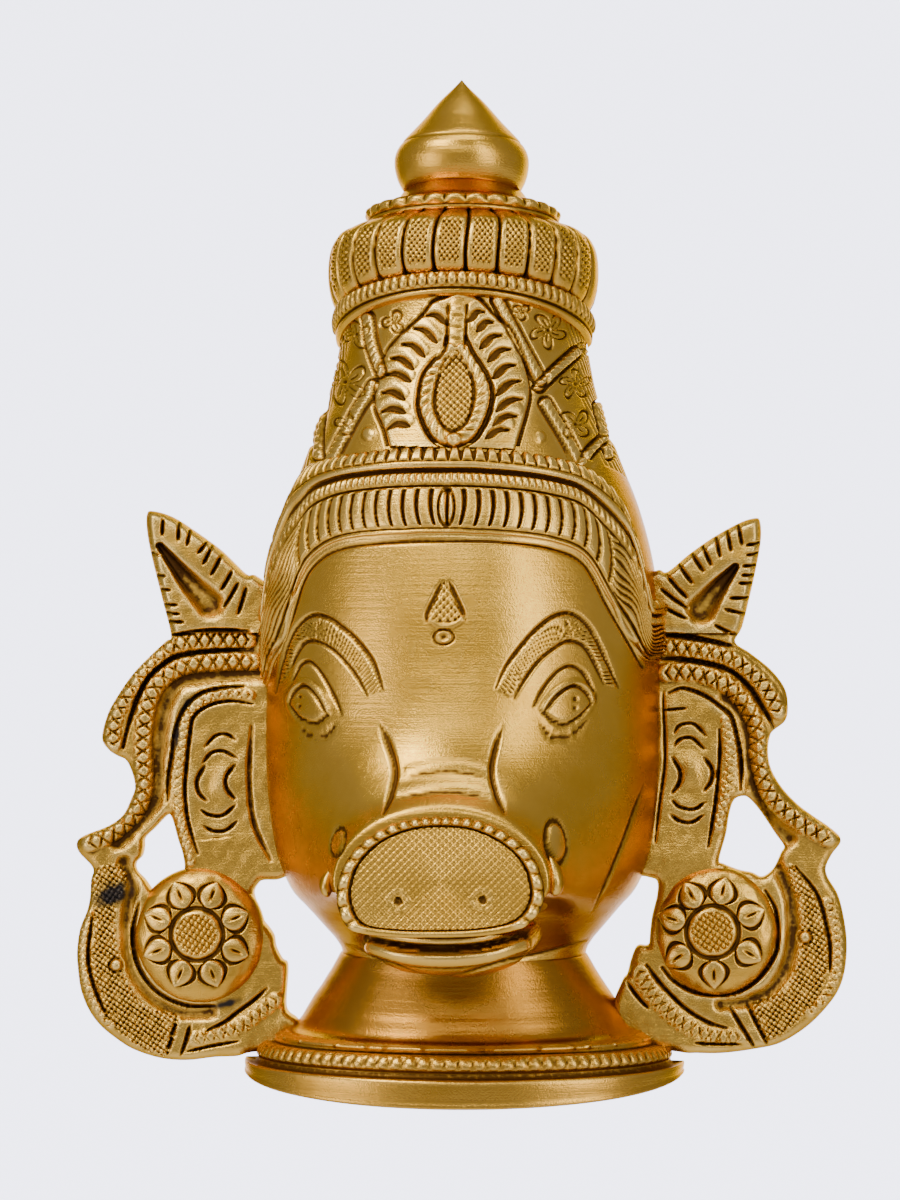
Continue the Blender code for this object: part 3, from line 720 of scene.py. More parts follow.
# %% [markdown]
# ## Crown
# The tall crown carries the finest chasing: an almond-shaped seed with a roped rim inside a flame, whose
# edge is cut into crescents, and crossing straps and small flowers at each side. The strokes are listed as
# they stand in the front drawing, so a stroke can be moved by moving its points. The casting is hollow, so
# the lining is the same surface moved in by the thickness of the wall.

# %% Crown form
CROWN_FOOT = (590, 626)
CROWN_TOP = (757, 795)
WALL = 3.5 * MM


def crown_surface(u, v):
    """The stretch of the column between two lines that rise from the sides to the front."""
    angle = np.pi * (1 - front_share(u))
    side, front = [foot * (1 - v) + top * v for foot, top in zip(CROWN_FOOT, CROWN_TOP)]
    return model(half_width(side) * np.cos(angle), front_depth(front) * np.sin(angle),
                 side + (front - side) * np.sin(angle))


def hollow_lining(surface):
    """The inside of a hollow part: its front moved back and in by the wall of the casting."""

    def lining(u, v):
        points = surface(u, v)
        reach = np.hypot(points[:, 0], points[:, 1])
        points[:, :2] *= (np.maximum(reach - WALL, 0) / np.maximum(reach, 1e-9))[:, None]
        return points

    return lining


# %% Crescents and flowers
def arched_cut(x, y, outer, inner, depth=0.8, width=5.0):
    """A crescent cut, thin at its ends and thick past its middle, arching upward, with a lobe above it."""
    middle = ((outer[0] + inner[0]) / 2, (outer[1] + inner[1]) / 2 - 4.6)
    near, place, _, total = along(x, y, curve_through([outer, middle, inner], 8), 9)
    size = width * (0.30 + 0.70 * np.sin(np.pi * np.clip(place / total, 0, 1) ** 1.5))
    above = curve_through([(a, b - 6.5) for a, b in (outer, middle, inner)], 8)
    lobe = along(x, y, above, 9)[0]
    return 0.30 * rounded(lobe / 6) - depth * smoothstep(1.2 - near / size)


def flower(x, y, centre, radius, petals, start=0.0):
    """An engraved flower: the outline of each petal, a vein down it, and a small eye."""
    dx, dy = x - centre[0], y - centre[1]
    reach = np.hypot(dx, dy) / radius
    angle = np.arctan2(dy, dx) + start + 0.35 * reach
    shape = np.abs(np.cos(angle * petals / 2))
    outline = np.abs(reach - shape ** 0.8 - 0.10) * radius
    vein = np.abs(np.sin(angle * petals / 2)) * reach * radius * 2 / petals
    in_petal = smoothstep((reach - 0.2) / 0.1) * smoothstep((0.75 - reach) / 0.1)
    height = 0.15 * np.clip(1 - reach ** 2, 0, 1) - 0.45 * smoothstep(1.1 - outline / 2.4) * (reach < 1.3)
    height -= 0.35 * smoothstep(1.1 - vein / 1.6) * in_petal
    return height - 0.4 * smoothstep(1.4 - reach * radius / 2.6)


# %% Crown strokes
FLAME_EDGE = [
    [(457, 290), (446, 296), (433, 301), (421, 316), (402, 333), (388, 349), (378, 370), (374, 392),
     (375, 410), (383, 429), (388, 447)],
    [(457, 290), (468, 293), (478, 297), (494, 314), (511, 330), (520, 349), (527, 370), (531, 392),
     (527, 415), (520, 439), (517, 450)],
]
SEED_OUTER = [
    [(447, 338), (443, 354), (433, 363), (423, 377), (419, 396), (419, 410), (426, 429), (435, 442),
     (450, 449)],
    [(466, 338), (473, 354), (482, 368), (489, 382), (492, 396), (489, 413), (482, 429), (473, 441),
     (457, 449)],
]
SEED_ROPE = [
    [(449, 352), (440, 365), (431, 378), (427, 395), (427, 411), (434, 428), (443, 438), (454, 442)],
    [(463, 352), (472, 365), (480, 378), (483, 393), (480, 410), (474, 425), (466, 436), (454, 442)],
]
SEED_INNER = [
    [(453, 352), (445, 362), (440, 375), (436, 392), (436, 410), (443, 426), (454, 432)],
    [(458, 352), (463, 362), (471, 377), (473, 394), (471, 411), (465, 425), (454, 432)],
]
LEFT_CUTS = [
    ((427, 316), (448, 325)), ((415, 329), (437, 343)), ((404, 345), (425, 357)), ((393, 359), (414, 370)),
    ((386, 376), (411, 382)), ((383, 394), (405, 400)), ((382, 413), (406, 414)), ((388, 430), (410, 427)),
]
RIGHT_CUTS = [
    ((484, 313), (468, 322)), ((492, 323), (477, 332)), ((500, 336), (480, 349)), ((509, 350), (488, 362)),
    ((514, 366), (493, 379)), ((519, 382), (496, 396)), ((521, 400), (496, 412)), ((516, 417), (493, 426)),
    ((508, 431), (486, 439)),
]
LEFT_STRAPS = [
    ([(367, 318), (371, 345), (381, 372)], 9.0), ([(373, 385), (352, 418), (331, 458)], 9.0),
    ([(322, 396), (318, 426), (317, 456)], 7.0), ([(300, 430), (291, 452)], 6.0),
]
RIGHT_STRAPS = [
    ([(498, 300), (520, 342), (541, 380)], 9.0), ([(577, 352), (559, 368), (540, 386)], 8.0),
    ([(546, 403), (563, 431), (580, 462)], 9.0), ([(602, 440), (590, 452), (581, 467)], 7.0),
    ([(598, 405), (604, 428), (610, 455)], 6.0),
]
FLOWERS = [
    ((345, 382), 21, 5, 0.3), ((356, 334), 13, 4, 0.0), ((393, 322), 11, 3, 0.8), ((344, 424), 10, 3, 0.4),
    ((330, 348), 9, 3, 0.2), ((549, 330), 17, 5, 0.6), ((576, 384), 14, 5, 0.0), ((576, 424), 15, 4, 0.5),
    ((522, 311), 8, 3, 0.3), ((587, 346), 8, 3, 0.7), ((308, 420), 9, 3, 0.5),
]

print(len(LEFT_CUTS) + len(RIGHT_CUTS), "crescents and", len(FLOWERS), "small flowers")

# %% Crown carving
def flame_relief(px, py):
    """The flame and its crescents, and which points lie in it."""
    in_flame = between(px, py, *FLAME_EDGE)
    near_edge = np.minimum(*[distance(px, py, edge, 12) for edge in FLAME_EDGE])
    height = 0.75 * np.where(in_flame, smoothstep(near_edge / 5), 0)
    height -= 0.75 * smoothstep(1 - near_edge / 3.4) * np.where(in_flame, 0.6, 1)
    for outer, inner in LEFT_CUTS + RIGHT_CUTS:
        height += arched_cut(px, py, outer, inner)
    return height, in_flame


def seed_relief(px, py):
    """The stippled seed, its roped rim and the stem that it hangs from."""
    height = np.where(between(px, py, *SEED_INNER), 0.12 + punched(px, py, 4.9, 0.45, 0.75), 0)
    for path in SEED_OUTER:
        height += groove(px, py, path, 4.2, 1.1, 0.7)
    for path in SEED_ROPE:
        height += beaded(px, py, path, 7.5, 0.95, 9.5, 0.60, 0.7)
    for path in SEED_INNER:
        height += groove(px, py, path, 2.6, 0.5, 0.7)
    height += beaded(px, py, [(458, 306), (457, 330), (456, 352)], 8.0, 0.7, 12, 0.5)
    for x in (448, 467):
        height += groove(px, py, [(x, 306), (x - 1, 330), (x - 2, 350)], 2.2, 0.5, 0.8)
    return height


def crown_relief(u, v, px, py):
    height, in_flame = flame_relief(px, py)
    height += seed_relief(px, py) + 0.07 * uneven(px, py, 9, 21)
    for strap, width in LEFT_STRAPS + RIGHT_STRAPS:
        height += 0.65 * beaded(px, py, strap, width * 0.55, 1.0, 6.5, 0.6, 0.6)
        height -= 0.8 * stripe(distance(px, py, strap, 14), width * 0.74, 2.6)
    for centre, radius, petals, start in FLOWERS:
        height += ~in_flame * flower(px, py, centre, radius, petals, start)
    height += dome(px, py, (369, 434), (7, 7), 0.6) + dome(px, py, (540, 437), (5, 6), 0.4)
    far_side = smoothstep((np.abs(u - 0.5) - 0.36) / 0.03)
    return height + far_side * hatched(u * 200, v * 60, 3.2, 0.28, 0.5)


carve("crown", 340, 178, crown_surface, crown_relief, hollow_lining(crown_surface), wear_and_highlight_scale=0.25, oxide_and_shade_scale=0.25)

# %% [markdown]
# ## Diadem
# A band arches over the forehead and comes down beside the face like a frame. From its lower edge up it has
# a cove, a row of flutes that lean out from the middle, a thin row of beads, and a toothed fillet with a
# round lower lip. Beside the face the flutes give way to combed hair. The band is one grid that stands a
# little proud of the head; its lower rows drop sooner at the sides than its upper rows.

# %% Diadem form
DIADEM_TOP = [
    (256, 600), (258, 576), (262, 552), (270, 518), (279, 492), (296, 471), (325, 459), (365, 451.5),
    (405, 447.5), (446, 446.5), (488, 448), (530, 452.5), (564, 459), (588, 468), (607, 483), (621, 503),
    (633, 540), (641, 572), (645, 600),
]
DIADEM_FOOT = [
    (262, 700), (270, 681), (281, 655), (289, 628), (295, 606), (302, 582), (313, 566), (331, 552),
    (357, 545), (400, 542), (446, 541), (500, 543), (540, 547), (566, 554), (583, 563), (595, 579),
    (605, 601), (624, 634), (641, 664),
]
diadem_swell = shares((0, 0.5), (0.08, 1.0), (0.15, 5.0), (0.35, 7.0), (0.58, 6.5), (0.66, 6.5), (0.76, 5.5),
                      (0.83, 8.5), (0.93, 7.5), (1, 3))


# %% Seating the band on the head
ARCHING = (100, 640)


def on_column(angle, level, swell):
    """A point of the head or crown at an angle and level, raised by a swell."""
    side = level
    for _ in range(4):
        side = level - arch_lift(np.clip(side, *ARCHING)) * np.sin(angle)
    front = side + arch_lift(np.clip(side, *ARCHING))
    x = (half_width(side) + swell) * np.cos(angle)
    return model(x, (front_depth(front) + swell) * np.sin(angle), level)


WHOLE_DRAWING = 600
HIGHEST = table({0: 482, 8: 490, 14: 520, 20: 570, 26: 603, 33: 640, 40: 650, 90: 650})


def meet(path, swell):
    """The level at which each column of the surface stands on a line of the front drawing."""
    angles = np.pi * np.linspace(0, 1, 181)
    levels = np.linspace(330, 650, 257)
    a, b = np.meshgrid(angles, levels, indexing="ij")
    px, py = photo(on_column(a.ravel(), b.ravel(), swell))
    near = distance(px, py, path, WHOLE_DRAWING)
    above = np.maximum(b - HIGHEST(90 - np.abs(np.degrees(a) - 90)), 0)
    best = levels[np.argmin(near.reshape(a.shape) + 5 * above, axis=1)]
    soft = blurred(best[None, :], 0.01, 1.5)[0]
    return lambda angle: np.interp(angle, angles, soft)


top_level, foot_level = meet(DIADEM_TOP, 3), meet(DIADEM_FOOT, 0.5)


def diadem_surface(u, v):
    """The band between its foot and top lines, raised by its own profile."""
    angle = np.pi * (1 - front_share(u))
    level = top_level(angle) * v + foot_level(angle) * (1 - v)
    return on_column(angle, level, diadem_swell(v))


print("the diadem stands", round(float(top_level(np.pi / 2) - foot_level(np.pi / 2))), "units high in front")

# %% Diadem carving
FLUTES = 43
TEETH = 46
BEADS = 84
FLUTE_FOOT = 0.155
FLUTE_SPAN = 0.41


def flute_relief(turn, v, hair):
    """Flutes that bow out from the middle, each a round rib between two cuts, and the seed in the middle."""
    flute_v = np.clip((v - FLUTE_FOOT) / FLUTE_SPAN, 0, 1)
    bow = 0.75 * (flute_v - 0.5) ** 2 - 0.30 * flute_v
    phase = turn * FLUTES * 0.5 + np.sign(turn) * bow * smoothstep(np.abs(turn) * 20)
    local = from_whole(phase)
    end = smoothstep(flute_v / 0.07) * smoothstep((1 - flute_v) / 0.05)
    cut = smoothstep(1 - local / (0.30 + 0.25 * flute_v))
    lens = ellipse(turn * 330, (v - FLUTE_FOOT) / FLUTE_SPAN * 40 - 20, (-1, 0), (7.5, 17))
    seed = 0.6 * rounded(lens) - 0.6 * stripe(lens, 1.15, 0.25)
    return (1 - hair) * end * (0.30 * rounded(1 - local) - 0.95 * cut) + seed


def hair_relief(v, px, py, hair):
    """Combed strands that wave along the band beside the face."""
    strand = from_whole(v * 17 + 0.45 * np.sin(px / 6.5 + v * 5) + 0.35 * np.sin(py / 9))
    combed = hair * smoothstep((v - 0.02) / 0.03) * smoothstep((0.60 - v) / 0.03)
    return combed * (0.30 - 0.65 * smoothstep(1 - strand / 0.8))


def fillet_relief(turn, v):
    """The row of beads, and above it the fillet's round lip and its teeth."""
    bead = 1 - from_whole(turn * BEADS * 0.5) ** 2
    height = 0.60 * rounded((v - 0.665) / 0.055) * (0.15 + 0.85 * bead)
    height += 0.45 * rounded((v - 0.812) / 0.036) - 0.75 * stripe(v, 0.750, 0.026)
    tooth = from_whole(turn * TEETH * 0.5)
    rise = np.clip((v - 0.848) / 0.152, 0, 1)
    notch = smoothstep((v - 0.848) / 0.03) * smoothstep(1.15 - tooth / (0.22 + 0.45 * rise))
    return height + 0.45 * smoothstep((v - 0.845) / 0.03) * smoothstep((1 - v) / 0.03) - 0.95 * notch


def diadem_relief(u, v, px, py):
    turn = (front_share(u) - 0.5) * 2
    hair = smoothstep((42 - (90 - np.abs(turn) * 90)) / 8)
    height = flute_relief(turn, v, hair) + hair_relief(v, px, py, hair) + fillet_relief(turn, v)
    height += 0.35 * stripe(v, 0.105, 0.025) - 0.90 * stripe(v, 0.0, 0.035)
    height -= 0.45 * stripe(v, 0.128, 0.020) + 0.50 * stripe(v, 0.585, 0.018)
    return height + 0.07 * uneven(px, py, 8, 31)


carve("diadem", 500, 128, diadem_surface, diadem_relief, hollow_lining(diadem_surface), wear_and_highlight_scale=0.22, oxide_and_shade_scale=0.22)

# %% [markdown]
# ## Head
# The face is an animal's: a broad smooth head with a short muzzle. The head is the column with two swells
# melted into it, the muzzle and the jaw. The grid is closer at the brows and eyes, where the chasing is
# fine, and wider on the plain cheeks. The fine strokes come after the form, as they did for the maker.

# %% Head form
HEAD_BOTTOM = 126
head_levels = shares((0, HEAD_BOTTOM), (0.10, 158), (0.36, 330), (0.46, 398), (0.86, 524), (0.94, 560),
                     (1, 604))
SNOUT_FRONT = 268
FLANGE_FRONT = 261
FLANGE = {"middle": 0, "level": 227, "half": 101, "up": 66, "down": 49}
above_flange = table({
    0: 1, 5: 0.95, 18: 0.68, 34: 0.47, 52: 0.29, 74: 0.15, 100: 0.065, 130: 0.02, 160: 0.002, 190: 0, 220: 0,
    400: 0,
})
beside_flange = table({
    0: 1, 5: 0.80, 10: 0.60, 20: 0.40, 32: 0.25, 46: 0.13, 62: 0.05, 80: 0, 100: 0, 400: 0,
})
below_flange = table({0: 1, 3: 0.6, 6: 0.25, 10: 0.12, 20: 0.02, 30: 0, 400: 0})
JAW = (2, 165, 178)
JAW_RADII = (82, 36, 66)
JAW_TOP = 176


def muzzle_share(x, level):
    """How far each point is drawn out to the flange that carries the snout: one within it, zero far off."""
    half = FLANGE["half"]
    dx, dz = x - FLANGE["middle"], level - FLANGE["level"]
    tall = np.where(dz > 0, FLANGE["up"], FLANGE["down"])
    ring = np.hypot(dx / half, dz / tall)
    way = np.arctan2(dz, dx * tall / half)
    edge = np.hypot(half * np.cos(way), tall * np.sin(way))
    away = np.clip((ring - 1) * edge, 0, 399)
    upward = smoothstep((np.sin(way) - 0.15) / 0.75)
    downward = smoothstep((-np.sin(way) - 0.25) / 0.4)
    share = upward * above_flange(away) + (1 - upward) * beside_flange(away)
    return np.clip(downward * below_flange(away) + (1 - downward) * share, 0, 1)


def with_jaw(x, level, forward, column):
    """The front with the jaw's swell melted in below the muzzle."""
    jx, jz = (x - JAW[0]) / JAW_RADII[0], (level - JAW[1]) / JAW_RADII[1]
    chin = np.clip(1 - jx ** 2 - jz ** 2, 0, 1)
    jaw = column + np.maximum(JAW[2] + JAW_RADII[2] * chin ** 0.5 - column, 0) * smoothstep(chin / 0.06)
    return np.where(level < JAW_TOP, np.maximum(forward, jaw), forward)


def head_surface(u, v):
    """The column with the muzzle and the jaw melted into it."""
    angle = np.pi * (1 - front_share(u))
    side = head_levels(v)
    level = side + arch_lift(side) * np.sin(angle)
    x = half_width(side) * np.cos(angle)
    column = front_depth(side + arch_lift(side)) * np.sin(angle)
    forward = column + np.maximum(FLANGE_FRONT - column, 0) * muzzle_share(x, level)
    return model(x, with_jaw(x, level, forward, column), level)


# %% Face strokes
FOREHEAD = [
    (283, 640), (290, 622), (296, 604), (302, 584), (312, 567), (330, 553), (355, 546), (400, 542),
    (450, 541), (500, 542), (540, 546), (566, 553), (583, 563), (594, 579), (605, 601), (624, 634),
    (643, 667),
]
LEFT_BROW_OUTER = [
    (383, 690), (372, 661), (355, 639), (341, 627), (328, 618), (313, 615), (300, 623), (290, 638),
    (282, 662), (276, 692),
]
LEFT_BROW_INNER = [
    (367, 696), (355, 675), (341, 658), (328, 647), (314, 641), (304, 643), (297, 653), (291, 668),
]
RIGHT_BROW_OUTER = [
    (496, 688), (506, 667), (520, 648), (536, 630), (553, 617), (569, 613), (583, 620), (595, 636),
    (607, 661), (619, 688),
]
RIGHT_BROW_INNER = [
    (514, 699), (525, 680), (539, 661), (555, 648), (569, 641), (583, 645), (593, 659), (604, 684),
]
LEFT_LIDS = [
    [(341, 714), (332, 694), (320, 673), (309, 662), (300, 665), (293, 680)],
    [(327, 715), (318, 698), (309, 688), (302, 686), (295, 692), (290, 704)],
    [(327, 715), (318, 722), (309, 722), (299, 717), (291, 706)],
    [(336, 724), (324, 736), (311, 737), (299, 727)],
]
RIGHT_LIDS = [
    [(534, 706), (545, 687), (558, 672), (571, 666), (583, 672), (594, 691)],
    [(543, 713), (555, 697), (567, 688), (576, 686), (585, 692), (591, 704)],
    [(543, 713), (555, 722), (568, 723), (581, 715), (591, 704)],
    [(540, 724), (550, 735), (561, 738), (575, 733), (588, 720)],
]
FURROWS = [
    [(380, 725), (388, 744), (395, 768), (392, 790), (383, 814)],
    [(502, 729), (496, 748), (492, 769), (496, 790), (505, 812)],
]
WRINKLES = [
    ([(409, 770), (430, 766), (450, 765), (470, 767), (486, 771)], 5.0, 0.18),
    ([(398, 791), (420, 787), (445, 785), (470, 787), (490, 791)], 5.5, 0.22),
]
CREASE = [(644, 783), (634, 812), (622, 845), (608, 880), (593, 911)]
JAW_LINE = [(346, 944), (384, 961), (440, 978), (503, 962), (548, 952), (586, 940)]
MOUTH = [(366, 938), (400, 946), (440, 949), (482, 946), (526, 934)]
LOWER_LIP = [(371, 948), (404, 957), (440, 960), (482, 957), (522, 945)]
LEAVES = [((338, 842), (6, 13), 0.25, 0.5), ((556, 842), (9, 20), -0.12, 0.9)]
HATCH_PITCH = 4.2


# %% Brows, eyes and the mark between them
def brow(px, py, outer, inner):
    """A raised brow, cut across with slanting strokes, between an outer and an inner groove."""
    near_out, place, _, _ = along(px, py, curve_through(outer), 34)
    inside = np.minimum(near_out, distance(px, py, inner, 34))
    body = np.where(between(px, py, outer, inner), smoothstep(inside / 4.0), 0)
    strokes = np.abs(np.sin(np.pi * (place + near_out * 0.45) / HATCH_PITCH))
    height = 0.28 * body - 0.42 * body * smoothstep(1 - strokes / 0.7)
    height += groove(px, py, outer, 3.6, 0.85, 0.25) + groove(px, py, inner, 3.2, 0.75, 0.25)
    return height


def eye(px, py, lids, centre, radii, turn, pupils):
    """A low ball under a crease and two lids, with its pupil given by two punch marks."""
    height = dome(px, py, centre, radii, 0.65, turn)
    crease, upper, lower, under = lids
    height += groove(px, py, crease, 3.2, 0.75, 0.35)
    height += ridge(px, py, [(a, b - 4) for a, b in upper], 4.0, 0.30)
    height += groove(px, py, upper, 3.2, 1.0, 0.5) + groove(px, py, lower, 3.0, 0.9, 0.5)
    height += groove(px, py, under, 2.8, 0.65, 0.25)
    for x, y, size in pupils:
        height -= 0.50 * smoothstep(1.3 - ellipse(px, py, (x, y), (size, size)))
    return height


def tilaka(px, py):
    """The pointed mark on the brow: two thick grooves, a hatched leaf between them and a ring below."""
    leaf = curve_through([(444, 580), (437, 596), (430, 611), (432, 619), (445, 623), (458, 619), (460, 611),
                          (452, 596), (444, 580)])
    area = within(px, py, leaf)
    height = np.where(area, 0.15 * smoothstep(along(px, py, leaf, 16)[0] / 3), 0)
    height += area * (hatched(px, py, 5.6, 0.30, 0.75) + hatched(px, py, 5.6, 0.30, -0.75))
    height += groove(px, py, [(441, 583), (435, 596), (427, 612), (426, 621)], 3.8, 0.85, 0.35)
    height += groove(px, py, [(449, 582), (455, 595), (462, 610), (465, 619)], 4.2, 0.95, 0.35)
    height += ridge(px, py, [(430, 620), (438, 625), (446, 626), (455, 624), (463, 618)], 3.0, 0.40)
    ring = ellipse(px, py, (443.5, 637), (8.0, 5.8))
    height += 0.40 * stripe(ring, 0.82, 0.30) - 0.45 * stripe(ring, 1.32, 0.25)
    return height - 0.30 * smoothstep(1 - ring / 0.5)


# %% Head carving
def head_relief(u, v, px, py):
    height = 0.09 * uneven(px, py, 34, 41) + 0.012 * uneven(px, py, 11, 42)
    height -= 0.55 * smoothstep(1 - distance(px, py, FOREHEAD, 40) / 2.8)
    height += brow(px, py, LEFT_BROW_OUTER, LEFT_BROW_INNER)
    height += brow(px, py, RIGHT_BROW_OUTER, RIGHT_BROW_INNER)
    height += eye(px, py, LEFT_LIDS, (308, 704), (24, 21), 0.7, [(301, 697, 2.2), (301, 706, 2.0)])
    height += eye(px, py, RIGHT_LIDS, (568, 704), (29, 21), -0.45, [(574, 699, 2.6), (574, 708, 2.4)])
    height += tilaka(px, py)
    for path in FURROWS:
        height += groove(px, py, path, 5.0, 1.0, 0.25)
    for path, width, rise in WRINKLES:
        height += ridge(px, py, path, width, rise)
        height += groove(px, py, [(x, y + width * 1.3) for x, y in path], 3.0, 0.25, 0.2)
    height += groove(px, py, CREASE, 3.5, 0.45, 0.2)
    for centre, radii, turn, rise in LEAVES:
        leaf = ellipse(px, py, centre, radii, turn)
        height += rise * rounded(leaf) - 0.55 * stripe(leaf, 1.1, 0.3)
    height += groove(px, py, JAW_LINE, 3.2, 0.5, 0.3)
    height += groove(px, py, MOUTH, 7.5, 2.0, 0.4) + ridge(px, py, LOWER_LIP, 7.0, 0.9)
    return height


def head_painted_shade(u, v, px, py):
    """Painted shade: the cheeks far round the sides and the corners under them are painted a browner tone."""
    far_round = smoothstep((np.abs(front_share(u) - 0.5) - 0.29) / 0.12)
    under_cheek = smoothstep((0.20 - v) / 0.10) * smoothstep((np.abs(px - 445) - 95) / 30)
    return np.maximum(0.85 * far_round, 0.75 * under_cheek)


carve("head", 332, 276, head_surface, head_relief, hollow_lining(head_surface), wear_and_highlight_scale=0.4, oxide_and_shade_scale=0.22,
      brown_tone_and_shade=head_painted_shade)

# %% [markdown]
# ## Snout plate
# The muzzle ends in a flat plate with a beaded rim, stippled all over with a punch and pierced by two
# nostrils. A square grid is pressed into the plate's rounded outline, so it has no seam and no pole.

# %% Snout outline
SNOUT_RIM = [
    (441, 818), (405, 822), (372, 836), (348, 859), (337, 887), (339, 912), (353, 931), (390, 937),
    (437, 938), (484, 936), (522, 928), (540, 911), (544, 889), (535, 861), (512, 838), (478, 822),
]
SNOUT_BACK = 250
SNOUT_BEADS = 38
NOSTRILS = ((398, 901), (482, 900))


def closed_curve(points, steps=12):
    """A smooth closed outline through the given points."""
    p = list(points)
    path = curve_through([p[-1]] + p + [p[0], p[1]], steps)
    return path[steps:-steps - 1]


def pressed(u, v):
    """Places of a unit square's points when the square is pressed into a unit disc."""
    a, b = 2 * u - 1, 2 * v - 1
    return a * np.sqrt(1 - b * b / 2), b * np.sqrt(1 - a * a / 2)


def outline_reach(outline, centre):
    """How far a closed outline lies from its centre in each direction."""
    dx, dy = outline[:, 0] - centre[0], outline[:, 1] - centre[1]
    angle = np.arctan2(dy, dx)
    order = np.argsort(angle)
    return lambda a: np.interp(a, angle[order], np.hypot(dx, dy)[order], period=2 * math.pi)


# %% Snout form
snout_centre = (441, 882)
snout_reach = outline_reach(closed_curve(SNOUT_RIM), snout_centre)


def snout_surface(u, v):
    """The plate, a little hollow up and down, with its rim rolled back."""
    a, b = pressed(u, v)
    reach = np.hypot(a, b)
    angle = np.arctan2(-b, a)
    size = snout_reach(angle) * reach
    px, py = snout_centre[0] + size * np.cos(angle), snout_centre[1] + size * np.sin(angle)
    roll = np.clip((reach - 0.955) / 0.045, 0, 1)
    return to_model(px, py, SNOUT_FRONT - 6 * (1 - rounded(roll)) - 2.0 * ((py - 880) / 55) ** 2)


# %% Snout carving
def snout_relief(u, v, px, py):
    a, b = pressed(u, v)
    reach = np.hypot(a, b)
    angle = np.arctan2(-b, a)
    bead = 1 - from_whole(angle / (2 * np.pi) * SNOUT_BEADS) ** 2
    upper = smoothstep((0.62 - np.sin(angle)) / 0.2)
    rim = rounded((reach - 0.935) / 0.052)
    height = 1.35 * rim * (1 - upper * 0.80 * (1 - bead)) * (0.35 + 0.65 * upper)
    height -= 0.55 * stripe(reach, 0.872, 0.016)
    height += smoothstep((0.87 - reach) / 0.02) * (0.10 + punched(px, py, 5.3, 0.30, 0.785, 2.1))
    for centre in NOSTRILS:
        ring = ellipse(px, py, centre, (6.2, 6.2))
        height += 0.15 * stripe(ring, 1.7, 0.45) - 1.0 * smoothstep(1.05 - ring)
    return height + 0.06 * uneven(px, py, 12, 51)


def snout_lining(u, v):
    points = snout_surface(u, v)
    points[:, 1] = -SNOUT_BACK * UNIT
    return points


carve("snout_plate", 150, 130, snout_surface, snout_relief, snout_lining, wear_and_highlight_scale=0.30, oxide_and_shade_scale=0.38)

# %% [markdown]
# ## Tusks
# A small curved tusk stands at each side of the snout, close against its rim. Each is a ball drawn out
# and tapered to a point.

# %% Tusks
TUSKS = [("left_tusk", 327, 881, 6.0, 15, 0.22), ("right_tusk", 556, 876, 7.0, 19, -0.16)]
TUSK_DEPTH = 11
TUSK_LIFT = 4


def add_tusk(name, centre, half, tall, turn):
    """A ball drawn out, bent and tapered to a point."""
    select()
    bpy.ops.mesh.primitive_uv_sphere_add(segments=32, ring_count=24, radius=1)
    obj = bpy.context.object
    obj.name = name
    side, front, up = get_points(obj).T
    taper = 1 - 0.35 * up
    across, level = turned(side * half * taper + 3.0 * up ** 2 * np.sign(turn), up * tall, turn)
    set_points(obj, np.stack([across, front * TUSK_DEPTH * taper, level], axis=1) * UNIT + centre)
    # Painted shade darkens the tusk's sides, which turn away, and a painted highlight brightens its middle.
    set_attribute(obj, "recess", np.clip(0.9 * np.abs(side) - 0.35, 0, 1))
    set_attribute(obj, "edge", np.clip(0.6 - np.abs(side), 0, 1))
    finish_part(obj)
    print(name, len(obj.data.polygons), "faces")


def seat(x, y):
    """The point of the head's surface that stands at a photo place."""
    shares_across, shares_up = np.meshgrid(np.linspace(0, 1, 301), np.linspace(0, 0.5, 201))
    points = head_surface(shares_across.ravel(), shares_up.ravel())
    px, py = photo(points)
    return points[np.argmin((px - x) ** 2 + (py - y) ** 2)]


for name, x, y, half, tall, turn in TUSKS:
    add_tusk(name, seat(x, y) + np.array([0, -TUSK_LIFT * UNIT, 0]), half, tall, turn)

# %% [markdown]
# ## Neck and collar
# The neck is plain and brushed, and opens out to a stepped collar: a thin ridge with a few beads, a round
# band cut into beads by crossed strokes, a dark groove, and a plain flange whose lower edge dips in front.

# %% Neck and collar
COLLAR = [
    (0.00, 22, -22, 219, 156), (0.14, 32, -5, 219.5, 156.5), (0.17, 34, -2, 208, 146),
    (0.24, 41, 0, 205, 146), (0.31, 49, 1, 199, 141), (0.34, 52, 0, 191, 139), (0.39, 57, -1, 188, 139.5),
    (0.43, 63, -3, 181, 136.5), (0.49, 70, -5, 166, 128), (0.68, 92, -3, 152, 119),
    (0.86, 116, 0, 136, 113.5), (1.00, 138, 0, 123, 112),
]
collar_side, collar_lift, collar_half, collar_depth = [
    shares(*[(row[0], row[k]) for row in COLLAR]) for k in (1, 2, 3, 4)]
COLLAR_BEADS = 47
RIDGE_BEADS = 31


def collar_surface(u, v):
    """The neck and collar, row by row of the table above, each row rising or dipping in front."""
    angle = np.pi * (1 - u)
    level = collar_side(v) + collar_lift(v) * np.sin(angle)
    return model(collar_half(v) * np.cos(angle), collar_depth(v) * np.sin(angle), level)


